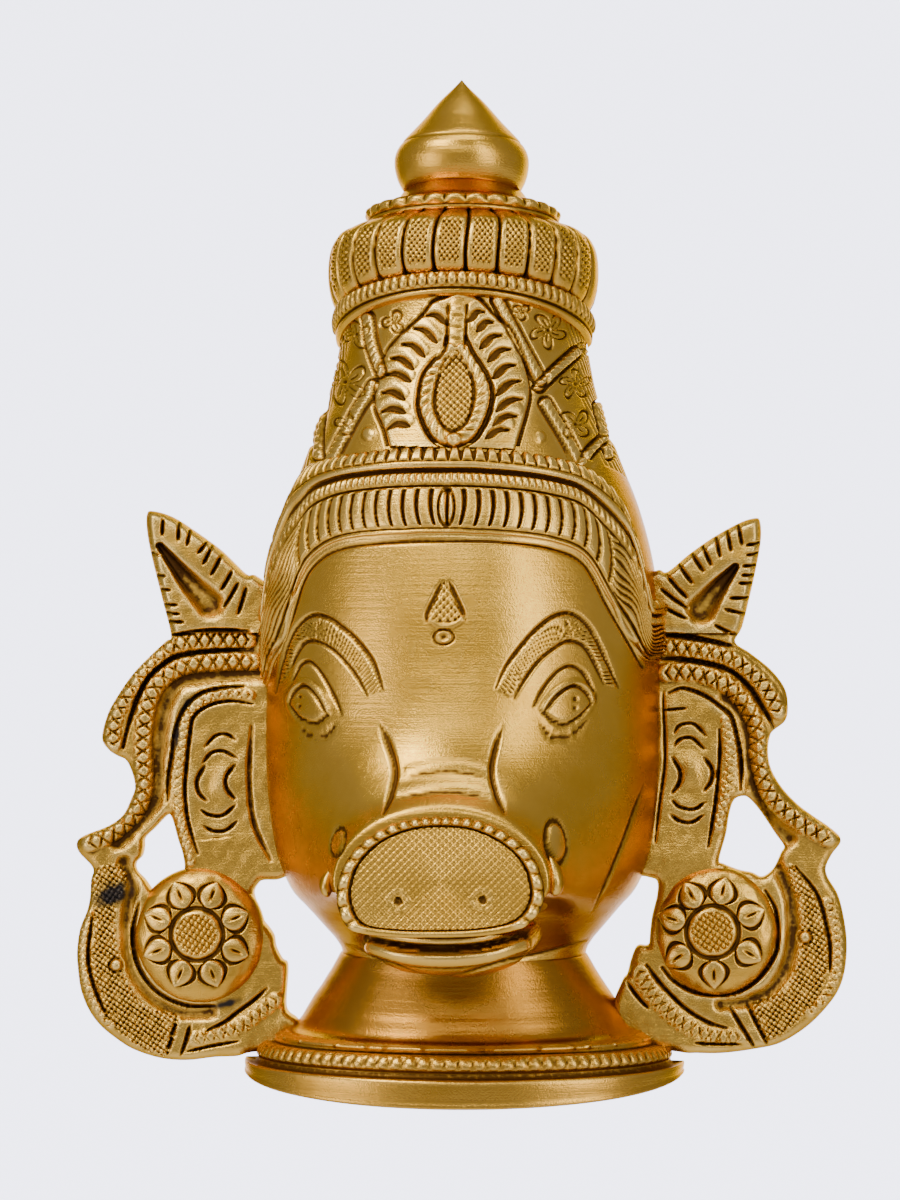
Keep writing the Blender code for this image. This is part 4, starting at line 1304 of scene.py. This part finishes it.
def collar_relief(u, v, px, py):
    height = 0.07 * uneven(px, py, 22, 61)
    height += 0.05 * uneven(u * 90, v * 500, 14, 62) * smoothstep((v - 0.45) / 0.05)
    local = from_whole(u * COLLAR_BEADS + 0.12 * uneven(u * 40, v * 0, 2, 63))
    across = (v - 0.25) / 0.062
    band = rounded(across)
    height += band * (0.35 + 0.35 * rounded(1 - local))
    height -= 0.28 * band * smoothstep(1 - np.abs(local - np.abs(across) * 0.8) / 0.28)
    height -= 0.75 * stripe(v, 0.163, 0.022) + 0.40 * stripe(v, 0.335, 0.018)
    shown = np.sin(np.round(u * RIDGE_BEADS) * 2.3) > 0.1
    few = shown * smoothstep(1 - from_whole(u * RIDGE_BEADS) / 0.4)
    height += stripe(v, 0.385, 0.022) * (0.25 + 0.35 * few)
    return height + 0.30 * faint(v, 0.012, 0.012)


def collar_brown_tone_and_shade(u, v, px, py):
    """A browner tone over the whole part, and more of it on the neck as painted shade than on the collar."""
    return 0.35 + 0.60 * smoothstep((v - 0.42) / 0.08)


carve("neck_and_collar", 310, 86, collar_surface, collar_relief, hollow_lining(collar_surface), oxide_and_shade_scale=0.28,
      brown_tone_and_shade=collar_brown_tone_and_shade)

# %% [markdown]
# ## Wings
# Beside the face stand two cast wings: a leaf-shaped ear, an arm of two beaded strips that curls down and
# out, a hanging panel, and a crescent round a flower. Each wing is a plate cut from a grid to its outline:
# the cells outside are taken away, the rim points slide onto the line, and the rim is pulled back to the
# wall. The strokes are again listed as they stand in the front drawing.

# %% Plates cut to an outline
PLATE_DEPTH = 21
LEAST_DEPTH = 6
CELL = 1.34
RIM_ROLL = 9.0
RIM_DROP = 8.5
# How dark the plates' low places are painted: brown oxide and painted shade.
PLATE_OXIDE_AND_SHADE = 0.46
# How bright the plates' crests are painted: wear from rubbing, and painted highlight.
PLATE_WEAR_AND_HIGHLIGHT = 0.42
PLATE_BLURS = (3.0, 0.8)
BOTH_ENDS = (slice(None, -1), slice(1, None))
CORNERS = [(rows, columns) for rows in BOTH_ENDS for columns in BOTH_ENDS]


def nearest_on(x, y, path):
    """For each point, the nearest place on a closed path."""
    best = np.full(x.shape, 1e9)
    nx, ny = x.copy(), y.copy()
    for (ax, ay), (bx, by) in zip(path, np.roll(path, -1, axis=0)):
        length = math.hypot(bx - ax, by - ay)
        if length < 1e-9:
            continue
        s = np.clip(((x - ax) * (bx - ax) + (y - ay) * (by - ay)) / length ** 2, 0, 1)
        cx, cy = ax + s * (bx - ax), ay + s * (by - ay)
        d = np.hypot(x - cx, y - cy)
        nx, ny = np.where(d < best, cx, nx), np.where(d < best, cy, ny)
        best = np.minimum(best, d)
    return best, nx, ny


def cells_to_keep(gx, gy, outline, gap):
    """Which cells of a grid lie on the plate, with no two of them touching at a corner alone."""
    mx, my = (gx[1:, 1:] + gx[:-1, :-1]) / 2, (gy[1:, 1:] + gy[:-1, :-1]) / 2
    keep = within(mx, my, outline) & ~within(mx, my, gap)
    for _ in range(4):
        a, b, c, d = [keep[corner] for corner in CORNERS]
        bad = (a & d & ~b & ~c) | (b & c & ~a & ~d)
        for corner in CORNERS:
            keep[corner] |= bad
    return keep


# %% Closing a plate
def close_plate(obj, keep, order):
    """Takes the other cells away, pulls the rim back to the wall and fills the back."""
    bm = bmesh.new()
    bm.from_mesh(obj.data)
    columns = keep.shape[1] + 1
    first = [min(order[vert.index] for vert in face.verts) for face in bm.faces]
    gone = [face for face, k in zip(bm.faces, first) if not keep[k // columns, k % columns]]
    bmesh.ops.delete(bm, geom=gone, context="FACES_ONLY")
    bmesh.ops.delete(bm, geom=[edge for edge in bm.edges if not edge.link_faces], context="EDGES")
    bmesh.ops.delete(bm, geom=[vert for vert in bm.verts if not vert.link_faces], context="VERTS")
    rim_edges = [edge for edge in bm.edges if len(edge.link_faces) == 1]
    made = bmesh.ops.extrude_edge_only(bm, edges=rim_edges)["geom"]
    for vert in [item for item in made if isinstance(item, bmesh.types.BMVert)]:
        vert.co.y = 0.0
    back_edges = [item for item in made if isinstance(item, bmesh.types.BMEdge)]
    back_edges = [edge for edge in back_edges if all(abs(vert.co.y) < 1e-9 for vert in edge.verts)]
    bmesh.ops.triangle_fill(bm, use_beauty=False, edges=back_edges)
    bmesh.ops.recalc_face_normals(bm, faces=bm.faces)
    bm.to_mesh(obj.data)
    bm.free()


# %% Cutting and carving a plate
def cut_plate(name, outline, gap, relief):
    """A plate cut from a grid to an outline and a gap, carved in front and flat behind."""
    outline, gap = closed_curve(outline, 5), closed_curve(gap, 5)
    x0, y0 = outline.min(axis=0) - 3
    x1, y1 = outline.max(axis=0) + 3
    obj, u, v, order, shape = add_grid(name, int((x1 - x0) / CELL), int((y1 - y0) / CELL))
    px, py = x0 + (x1 - x0) * u, y1 - (y1 - y0) * v
    gx, gy = np.zeros(shape), np.zeros(shape)
    gx.flat[order], gy.flat[order] = px, py
    keep = cells_to_keep(gx, gy, outline, gap)
    count = np.zeros(shape, int)
    for corner in CORNERS:
        count[corner] += keep
    count = count.flat[order]
    near_a, ax, ay = nearest_on(px, py, outline)
    near_b, bx, by = nearest_on(px, py, gap)
    rim = (count > 0) & (count < 4)
    px = np.where(rim, np.where(near_a < near_b, ax, bx), px)
    py = np.where(rim, np.where(near_a < near_b, ay, by), py)
    near = np.where(rim, 0, np.minimum(near_a, near_b))
    height = relief(px, py, near)
    roll = np.clip(1 - near / RIM_ROLL, 0, 1)
    depth = PLATE_DEPTH + height * MM / UNIT - RIM_DROP * (1 - np.sqrt(1 - 0.98 * roll ** 2))
    set_points(obj, to_model(px, py, np.maximum(depth, LEAST_DEPTH)))
    field = np.zeros(shape)
    field.flat[order] = np.where(count > 0, height - 1.2 * (roll > 0.85), 0)
    soft, fine = [blurred(field, cells, cells) for cells in PLATE_BLURS]
    # The plate's low places are painted darker: brown oxide and painted shade.
    set_attribute(obj, "recess", np.clip((soft - field) / PLATE_OXIDE_AND_SHADE, 0, 1).flat[order] * (near > 1.5))
    # The plate's crests are painted brighter: wear from rubbing, and painted highlight.
    set_attribute(obj, "edge", np.clip((fine - soft) / PLATE_WEAR_AND_HIGHLIGHT, 0, 1).flat[order])
    close_plate(obj, keep, order)
    finish_part(obj, cast_brass)
    print(name, len(obj.data.polygons), "faces,", int((count == 0).sum()), "points cut away")
    return obj


# %% Left wing strokes
LEFT = {
    "outline": [
        (257, 577), (245, 574), (221, 551), (194, 531), (172, 517), (153, 511), (147, 514), (147, 531),
        (152, 558), (162, 598), (171, 635), (166, 641), (151, 655), (132, 675), (115, 700), (107, 716),
        (102, 738), (109, 750), (118, 756), (126, 760), (132, 772), (135, 787), (131, 799), (123, 815),
        (108, 826), (85, 835), (77, 842), (79, 852), (93, 868), (91, 880), (90, 897), (87, 911), (80, 929),
        (77, 951), (78, 970), (81, 990), (89, 1010), (101, 1026), (117, 1039), (131, 1048), (149, 1055),
        (167, 1059), (189, 1060), (215, 1057), (237, 1056), (252, 1052), (300, 1046), (298, 1022),
        (287, 1012), (285, 1000), (287, 966), (281, 959), (275, 947), (273, 936), (268, 928), (262, 920),
        (256, 904), (253, 892), (258, 883), (264, 880), (280, 879), (292, 870), (302, 840), (303, 700),
        (290, 610)],
    "gap": [
        (167, 815), (172, 818), (178, 839), (183, 855), (184, 871), (174, 877), (164, 883), (155, 891),
        (151, 890), (144, 880), (136, 871), (135, 863), (141, 856), (143, 847), (144, 838), (154, 828)],
    "ear": [(160, 546), (190, 583), (210, 604)],
    "ear_strokes": [
        (163, 519, 162, 535), (179, 523, 178, 540), (190, 528, 187, 545), (207, 541, 198, 553),
        (212, 546, 203, 564), (221, 556, 211, 575), (232, 571, 221, 590), (238, 583, 224, 607),
        (246, 588, 238, 614), (149, 550, 161, 556), (154, 573, 165, 576), (157, 587, 170, 590),
        (162, 603, 177, 605), (165, 611, 179, 614), (168, 620, 183, 622)],
    "lines": [
        ([(171, 635), (210, 630), (249, 631)], 3.2, 0.85),
        ([(245, 649), (221, 650), (194, 653), (175, 657), (162, 665), (148, 678), (138, 697), (131, 716),
          (126, 734), (123, 748)], 3.2, 0.85),
        ([(245, 686), (221, 688), (199, 694), (183, 710), (175, 732), (172, 753), (168, 780),
          (167, 802)], 3.0, 0.8),
        ([(253, 704), (231, 701), (210, 705), (194, 716), (190, 734), (187, 761), (185, 788), (187, 815),
          (193, 839), (198, 854)], 2.6, 0.7),
        ([(205, 747), (215, 736), (226, 734), (236, 740)], 2.6, 0.6),
        ([(203, 763), (211, 753), (223, 751), (237, 758)], 2.8, 0.65),
        ([(205, 765), (197, 780), (199, 793), (207, 801)], 3.0, 0.7),
        ([(235, 764), (226, 777), (227, 789), (235, 799)], 3.0, 0.7),
        ([(201, 810), (210, 815), (223, 815), (235, 805)], 2.8, 0.65),
        ([(204, 826), (214, 831), (226, 830), (237, 821)], 2.8, 0.65),
        ([(197, 839), (214, 838), (231, 836)], 1.6, 0.2),
        ([(252, 726), (249, 775), (254, 823), (271, 860)], 4.0, 0.5),
        ([(93, 911), (90, 933), (88, 954), (90, 972), (96, 992), (103, 1008), (109, 1020)], 2.6, 0.6),
        ([(139, 902), (133, 929), (134, 951), (140, 970), (153, 988), (171, 1000), (192, 1006),
          (215, 1006)], 3.2, 0.9),
        ([(206, 1031), (224, 1022), (239, 1011), (254, 1000), (267, 988)], 2.8, 0.7),
        ([(177, 1018), (172, 1035), (167, 1053)], 3.0, 0.7),
        ([(190, 1025), (186, 1040), (181, 1055)], 3.0, 0.7),
        ([(185, 1052), (212, 1046), (239, 1041)], 2.4, 0.6)],
    "strips": [
        ([(248, 640), (210, 640), (178, 643), (158, 655), (140, 674), (127, 693), (117, 712), (113, 728),
          (113, 744)], 9.0, 12.0),
        ([(253, 662), (221, 662), (194, 664), (175, 670), (159, 682), (149, 700), (145, 718), (143, 737),
          (143, 756), (144, 769), (144, 783), (142, 796), (137, 810), (126, 822), (111, 834),
          (90, 843)], 9.5, 13.0),
        ([(250, 695), (225, 693), (205, 700), (190, 713), (183, 733), (180, 757), (177, 784), (177, 808),
          (183, 835), (190, 862)], 5.5, 9.5),
        ([(89, 915), (83, 938), (82, 958), (84, 977), (90, 994), (98, 1010), (110, 1025)], 5.5, 8.0),
        ([(196, 1039), (221, 1033), (242, 1025), (260, 1012), (276, 1000)], 8.0, 10.0)],
    "cove": [(262, 673), (221, 676), (189, 679), (173, 690), (165, 708), (161, 734), (159, 761), (159, 788),
             (151, 808), (136, 826), (118, 842)],
    "scoop": [(124, 862), (132, 884), (129, 903), (127, 925), (128, 947), (133, 969), (144, 988), (160, 1003),
              (182, 1012), (210, 1012)],
    "field": [(94, 872), (122, 866), (126, 888), (118, 905), (116, 925), (118, 950), (124, 975), (137, 996),
              (154, 1010), (178, 1017), (167, 1055), (140, 1048), (112, 1024), (98, 995), (92, 960),
              (94, 925)],
    "panel": (221, 780), "boss": (116, 965),
    "rosette": ((200, 936), (66, 69), (196.5, 934.5), [292, 337, 22.5, 67.5, 112.5, 157.5, 202.5, 247.5]),
    "black": [
        (113, 894, 18, 11, -0.45), (226, 1004, 14, 3.5, -0.3), (177, 735, 2.5, 14, 0.1),
        (186, 704, 10, 2.5, -0.9)],
}

# %% Right wing strokes
RIGHT = {
    "outline": [
        (655, 571), (667, 572), (688, 555), (712, 538), (739, 523), (755, 518), (760, 521), (761, 538),
        (757, 563), (750, 595), (742, 627), (735, 642), (750, 653), (771, 670), (785, 689), (788, 708),
        (785, 721), (774, 730), (770, 736), (768, 751), (771, 769), (782, 788), (798, 805), (814, 817),
        (830, 828), (841, 840), (832, 854), (826, 867), (828, 878), (838, 895), (844, 918), (847, 943),
        (845, 970), (838, 991), (824, 1010), (805, 1028), (780, 1043), (754, 1049), (723, 1053),
        (696, 1053), (680, 1052), (620, 1040), (612, 1010), (622, 981), (627, 974), (631, 959), (637, 946),
        (648, 945), (650, 932), (652, 916), (657, 895), (657, 881), (648, 877), (630, 872), (618, 850),
        (612, 700), (620, 600)],
    "gap": [
        (743, 796), (734, 800), (729, 815), (726, 834), (719, 860), (723, 864), (738, 870), (752, 873),
        (762, 877), (773, 869), (781, 853), (784, 846), (775, 833), (761, 812), (750, 799)],
    "ear": [(735, 567), (716, 590), (701, 610)],
    "ear_strokes": [
        (738, 523, 742, 545), (727, 529, 731, 551), (716, 536, 720, 557), (702, 544, 711, 565),
        (691, 552, 703, 571), (678, 563, 692, 583), (667, 576, 687, 598), (661, 589, 687, 608),
        (659, 604, 687, 619), (760, 542, 747, 545), (759, 552, 747, 555), (757, 564, 743, 566),
        (754, 574, 742, 575), (753, 582, 739, 583), (749, 597, 730, 598), (744, 613, 725, 609),
        (735, 634, 715, 625)],
    "lines": [
        ([(659, 634), (680, 635), (707, 640), (734, 646)], 3.2, 0.85),
        ([(660, 659), (680, 659), (707, 663), (731, 671), (750, 688), (763, 708), (774, 728)], 3.2, 0.85),
        ([(668, 693), (683, 688), (704, 695), (720, 706), (731, 716), (737, 737), (741, 761),
          (741, 791)], 3.0, 0.8),
        ([(719, 729), (720, 748), (718, 780), (714, 812), (708, 847)], 2.6, 0.7),
        ([(664, 710), (675, 709), (686, 708)], 2.4, 0.6),
        ([(663, 692), (664, 721), (665, 761), (660, 801), (655, 842)], 2.4, 0.5),
        ([(674, 733), (680, 725), (694, 724), (706, 736)], 2.6, 0.6),
        ([(674, 746), (680, 739), (692, 738), (704, 749)], 2.6, 0.6),
        ([(672, 757), (680, 771), (679, 783), (672, 793)], 3.0, 0.7),
        ([(704, 757), (712, 769), (711, 781), (704, 791)], 3.0, 0.7),
        ([(672, 800), (680, 807), (694, 809), (705, 802)], 2.8, 0.65),
        ([(670, 814), (680, 821), (692, 822), (703, 815)], 2.8, 0.65),
        ([(795, 866), (817, 894), (826, 924), (830, 947), (830, 972)], 2.6, 0.6),
        ([(765, 890), (776, 911), (778, 940), (773, 959), (757, 980), (738, 992), (715, 995), (692, 991),
          (673, 980), (662, 967)], 3.2, 0.9),
        ([(646, 964), (662, 985), (685, 1008), (708, 1022), (727, 1028)], 2.8, 0.7),
        ([(627, 982), (637, 996), (648, 1008)], 2.8, 0.7),
        ([(695, 1043), (719, 1044), (742, 1044)], 2.4, 0.6),
        ([(730, 1007), (742, 1027), (755, 1048)], 3.0, 0.7),
        ([(747, 1004), (757, 1024), (768, 1045)], 3.0, 0.7)],
    "strips": [
        ([(664, 646), (691, 649), (718, 654), (737, 662), (755, 676), (770, 694), (778, 711)], 9.0, 12.0),
        ([(666, 673), (686, 672), (707, 676), (726, 685), (742, 700), (752, 716), (758, 735), (758, 753),
          (762, 772), (768, 791), (783, 809), (804, 825), (828, 838)], 9.5, 13.0),
        ([(727, 721), (731, 748), (730, 775), (725, 801), (719, 826)], 6.5, 9.0),
        ([(828, 903), (836, 924), (838, 947), (836, 974), (826, 997), (811, 1012)], 6.0, 8.0),
        ([(639, 972), (652, 993), (669, 1012), (692, 1029), (715, 1036), (738, 1037)], 9.0, 10.0)],
    "cove": [(726, 700), (740, 715), (747, 737), (748, 761), (752, 788), (768, 817), (788, 838)],
    "scoop": [(778, 868), (788, 890), (792, 912), (792, 940), (785, 970), (769, 991), (746, 1001),
              (722, 1004)],
    "field": [(790, 862), (815, 896), (825, 930), (828, 960), (822, 990), (804, 1014), (780, 1036),
              (766, 1040), (752, 1006), (776, 994), (794, 972), (801, 940), (799, 905), (790, 882)],
    "panel": (692, 772), "boss": (805, 937),
    "rosette": ((716, 931), (62, 65), (712.5, 932), [240, 284, 336, 30, 88, 144, 198]),
}


print("strokes:", len(LEFT["lines"]), "on the left wing,", len(RIGHT["lines"]), "on the right")

# %% Wing carving
BOLD_STRIPS = 2
WING_BOLDNESS = 1.75


def strip_relief(px, py, path, width, pitch, rise, cut):
    """A round strip cut across by crossed strokes."""
    away, place, _, total = along(px, py, curve_through(path), 16)
    local = from_whole(place / total * max(1, round(total / pitch)))
    body = rounded(away / width)
    return body * (rise - cut * smoothstep(1 - np.abs(local - away / width * 0.9) / 0.34))


def ear_relief(px, py, near, hollow, strokes):
    """A leaf-shaped ear with a hollow that widens downward and short strokes along its rim."""
    away, place, _, total = along(px, py, curve_through(hollow), 26)
    height = 0.75 * (py < 633) * smoothstep(near / 6)
    height -= 1.5 * smoothstep(1.25 - away / (4 + 11 * place / total)) * (py < 640)
    for x0, y0, x1, y1 in strokes:
        height += groove(px, py, [(x0, y0), ((x0 + x1) / 2, (y0 + y1) / 2 + 0.6), (x1, y1)], 2.6, 0.8, 0.55)
    return height


def wing_relief(side):
    """The carving of one wing, from its table of strokes."""

    def relief(px, py, near):
        height = 0.10 * uneven(px, py, 9, 71) + 0.05 * uneven(px, py, 3.2, 72)
        height += ear_relief(px, py, near, side["ear"], side["ear_strokes"])
        for path, width in ((side["cove"], 13), (side["scoop"], 11)):
            height -= 0.9 * smoothstep(1 - distance(px, py, path, 20) / width)
        for k, (path, width, pitch) in enumerate(side["strips"]):
            rise, cut = (0.75, 0.55) if k < BOLD_STRIPS else (0.35, 0.35)
            height += strip_relief(px, py, path, width, pitch, rise, cut)
        for path, width, depth in side["lines"]:
            height += groove(px, py, path, width, depth, 0.45)
        height += 0.35 * smoothstep(1.2 - ellipse(px, py, side["panel"], (12, 20)))
        field = within(px, py, closed_curve(side["field"], 5))
        height += np.where(field, 0.25 + punched(px, py, 4.5, 0.50, 0.6, 1.7), 0)
        boss = ellipse(px, py, side["boss"], (9, 9))
        flat = smoothstep(1.25 - boss)
        height = height * (1 - flat) + flat * 0.45
        height += 0.35 * rounded(boss / 0.6) - 0.35 * stripe(boss, 0.8, 0.22)
        return height * WING_BOLDNESS

    return relief


def mark_black(obj, spots):
    """How black each point is, in a few listed spots."""
    px, py = photo(get_points(obj))
    share = np.zeros(len(px))
    for x, y, wide, high, turn in spots:
        ring = ellipse(px, py, (x, y), (wide, high), turn) + 0.25 * uneven(px, py, 2.5, 75)
        share = np.maximum(share, smoothstep(1.5 - ring))
    set_attribute(obj, "black_spot", share)


left_wing = cut_plate("left_wing", LEFT["outline"], LEFT["gap"], wing_relief(LEFT))
mark_black(left_wing, LEFT["black"])
cut_plate("right_wing", RIGHT["outline"], RIGHT["gap"], wing_relief(RIGHT))

# %% [markdown]
# ## Rosettes
# Each crescent holds a flower on a low round boss: a stippled seed inside a ring, and plump petals with a
# cut down the middle. The left flower has eight petals and the right one only seven, as the maker left them.

# %% Petals
PETAL = {"from": 28.5, "length": 27, "half": 12.5}


def petal_relief(px, py, seed, angle, away):
    """One plump petal with a groove round it and a cut down its middle."""
    a, b = turned(px - seed[0], py - seed[1], math.radians(angle))
    out, across = (a - PETAL["from"]) / PETAL["length"], b / PETAL["half"]
    width = np.sin(np.pi * np.clip(out, 0, 1) ** 0.85) ** 0.6
    inside = (out > 0) & (out < 1)
    share = np.where(inside, np.abs(across) / np.maximum(width, 0.05), 9)
    height = 0.85 * rounded(share) * smoothstep(away / 30) - 0.75 * stripe(share, 1.12, 0.26) * inside
    return height - 0.80 * smoothstep(1 - np.abs(across) / 0.16) * stripe(out, 0.52, 0.36)


# %% Rosettes
BOSS_BACK = 10
BOSS_FOOT = 12
BOSS_RISE = 23


def add_rosette(name, side):
    """A low round boss with a stippled seed and its petals."""
    centre, radii, seed, petals = side["rosette"]

    def surface(u, v):
        a, b = pressed(u, v)
        depth = BOSS_FOOT + BOSS_RISE * np.clip(1 - np.hypot(a, b) ** 4.5, 0, 1) ** 0.5
        return to_model(centre[0] + a * radii[0], centre[1] - b * radii[1], depth)

    def relief(u, v, px, py):
        away = np.hypot(px - seed[0], py - seed[1])
        height = 0.10 * uneven(px, py, 12, 81) + 0.35 * smoothstep((24 - away) / 4)
        height -= 0.75 * stripe(away, 26.5, 3.6)
        height += np.where(away < 20.5, punched(px, py, 5.2, 0.55, 0.6, 1.6), 0)
        for angle in petals:
            height += petal_relief(px, py, seed, angle, away)
        return height + (away > 42) * stripe(away, 57, 9) * 0.14 * uneven(px, py, 3.5, 83)

    def lining(u, v):
        points = surface(u, v)
        points[:, 1] = -BOSS_BACK * UNIT
        return points

    carve(name, 150, 150, surface, relief, lining, wear_and_highlight_scale=0.35, oxide_and_shade_scale=0.38)


add_rosette("left_rosette", LEFT)
add_rosette("right_rosette", RIGHT)

# %% [markdown]
# ## The hanging bar
# The casting is open behind. A plain flat bar crosses the open crown at the wall, and a nail takes it.

# %% Hanging bar
BAR_HEIGHT = 0.016
BAR_THICKNESS = 0.0040
BAR_INSET = 6
bar_level = -FLOOR_LEVEL / UNIT
bar_width = 2 * (half_width(bar_level) - BAR_INSET) * UNIT
select()
bpy.ops.mesh.primitive_cube_add(size=1)
bar = bpy.context.object
bar.name = "hanging_bar"
set_points(bar, get_points(bar) * (bar_width, BAR_THICKNESS, BAR_HEIGHT) - (0, BAR_THICKNESS / 2, 0))
set_attribute(bar, "recess", np.full(len(bar.data.vertices), LINING_OXIDE_AND_SHADE))
finish_part(bar)
bar.data.shade_flat()
print(bar.name, round(bar_width * 1000, 1), "mm long")

# %% [markdown]
# ## Studio
# The mask hangs before a plain pale ground. Large soft lights stand round it, as in a product
# photograph: brass shows only what it reflects, so the lights are wide and the ground is pale.

# %% Backdrop and floor
GLOW = (0.82, 0.83, 1.0, 1)
BACKDROP_DISTANCE = 2.3
FLOOR_DROP = -0.85


def add_sheet(name, finish_name, colour, size, place, turn=0.0, glow=0.0):
    """A large plain sheet, flat or stood upright, that may glow."""
    select()
    bpy.ops.mesh.primitive_plane_add(size=size, location=place, rotation=(math.radians(turn), 0, 0))
    sheet = bpy.context.object
    sheet.name = name
    finish = Finish(finish_name)
    finish.put(finish.shader, {
        "Base Color": colour, "Roughness": 0.9, "Emission Color": GLOW, "Emission Strength": glow})
    sheet.data.materials.append(finish.material)
    return sheet


backdrop = add_sheet("backdrop", "pale_paper", (0.80, 0.80, 0.88, 1), 3.2, (0, BACKDROP_DISTANCE, 0), 90, 4.0)
floor = add_sheet("floor", "pale_floor", (0.78, 0.77, 0.82, 1), 4.6, (0, 0, FLOOR_DROP))
print("backdrop", BACKDROP_DISTANCE, "m behind the mask, floor", -FLOOR_DROP, "m below it")

# %% Lights and world
WHITE = (1, 1, 1)
COOL = (0.90, 0.86, 1.0)
LIGHTS = [
    # name, place, the point it is aimed at, width and height, watts, colour
    ("key_light", (-0.70, -0.85, 1.00), (0, 0, -0.04), (0.7, 0.7), 17, WHITE),
    ("fill_light", (0.90, -1.0, 0.45), (0, 0, -0.06), (0.4, 0.9), 5, WHITE),
    ("front_light", (-0.1, -1.25, 0.42), (0, 0, -0.02), (1.0, 0.30), 3, WHITE),
    ("left_panel", (-0.95, -0.75, -0.20), (0, 0, -0.1), (0.6, 0.6), 4.5, COOL),
    ("right_panel", (0.95, -0.80, -0.15), (0, 0, -0.1), (0.5, 0.6), 3.5, COOL),
    ("top_light", (0.1, -0.35, 1.2), (0, 0, 0), (0.9, 0.4), 5, WHITE),
]
for name, place, aim, size, power, tint in LIGHTS:
    light = bpy.data.lights.new(name, "AREA")
    light.shape = "RECTANGLE"
    light.size, light.size_y = size
    light.energy = power
    light.color = tint
    lamp = bpy.data.objects.new(name, light)
    bpy.context.scene.collection.objects.link(lamp)
    lamp.location = place
    lamp.rotation_euler = (Vector(aim) - Vector(place)).to_track_quat("-Z", "Y").to_euler()

world = bpy.data.worlds.new("studio")
bpy.context.scene.world = world
world.use_nodes = True
background = world.node_tree.nodes["Background"]
background.inputs["Color"].default_value = (0.78, 0.77, 0.84, 1)
background.inputs["Strength"].default_value = 0.50
print(len(LIGHTS), "lights")

# %% [markdown]
# ## Bodies
# The mask has no joints, so every part of it rides on the one body. Each part took its brass when it was
# finished, the aged brass or, for the wings, the cast brass. Together the parts stand for the imported solid,
# which is then hidden.

# %% Ride, and the solid that the parts replace
for piece in pieces:
    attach(piece, "root")
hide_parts("goddess_mask")
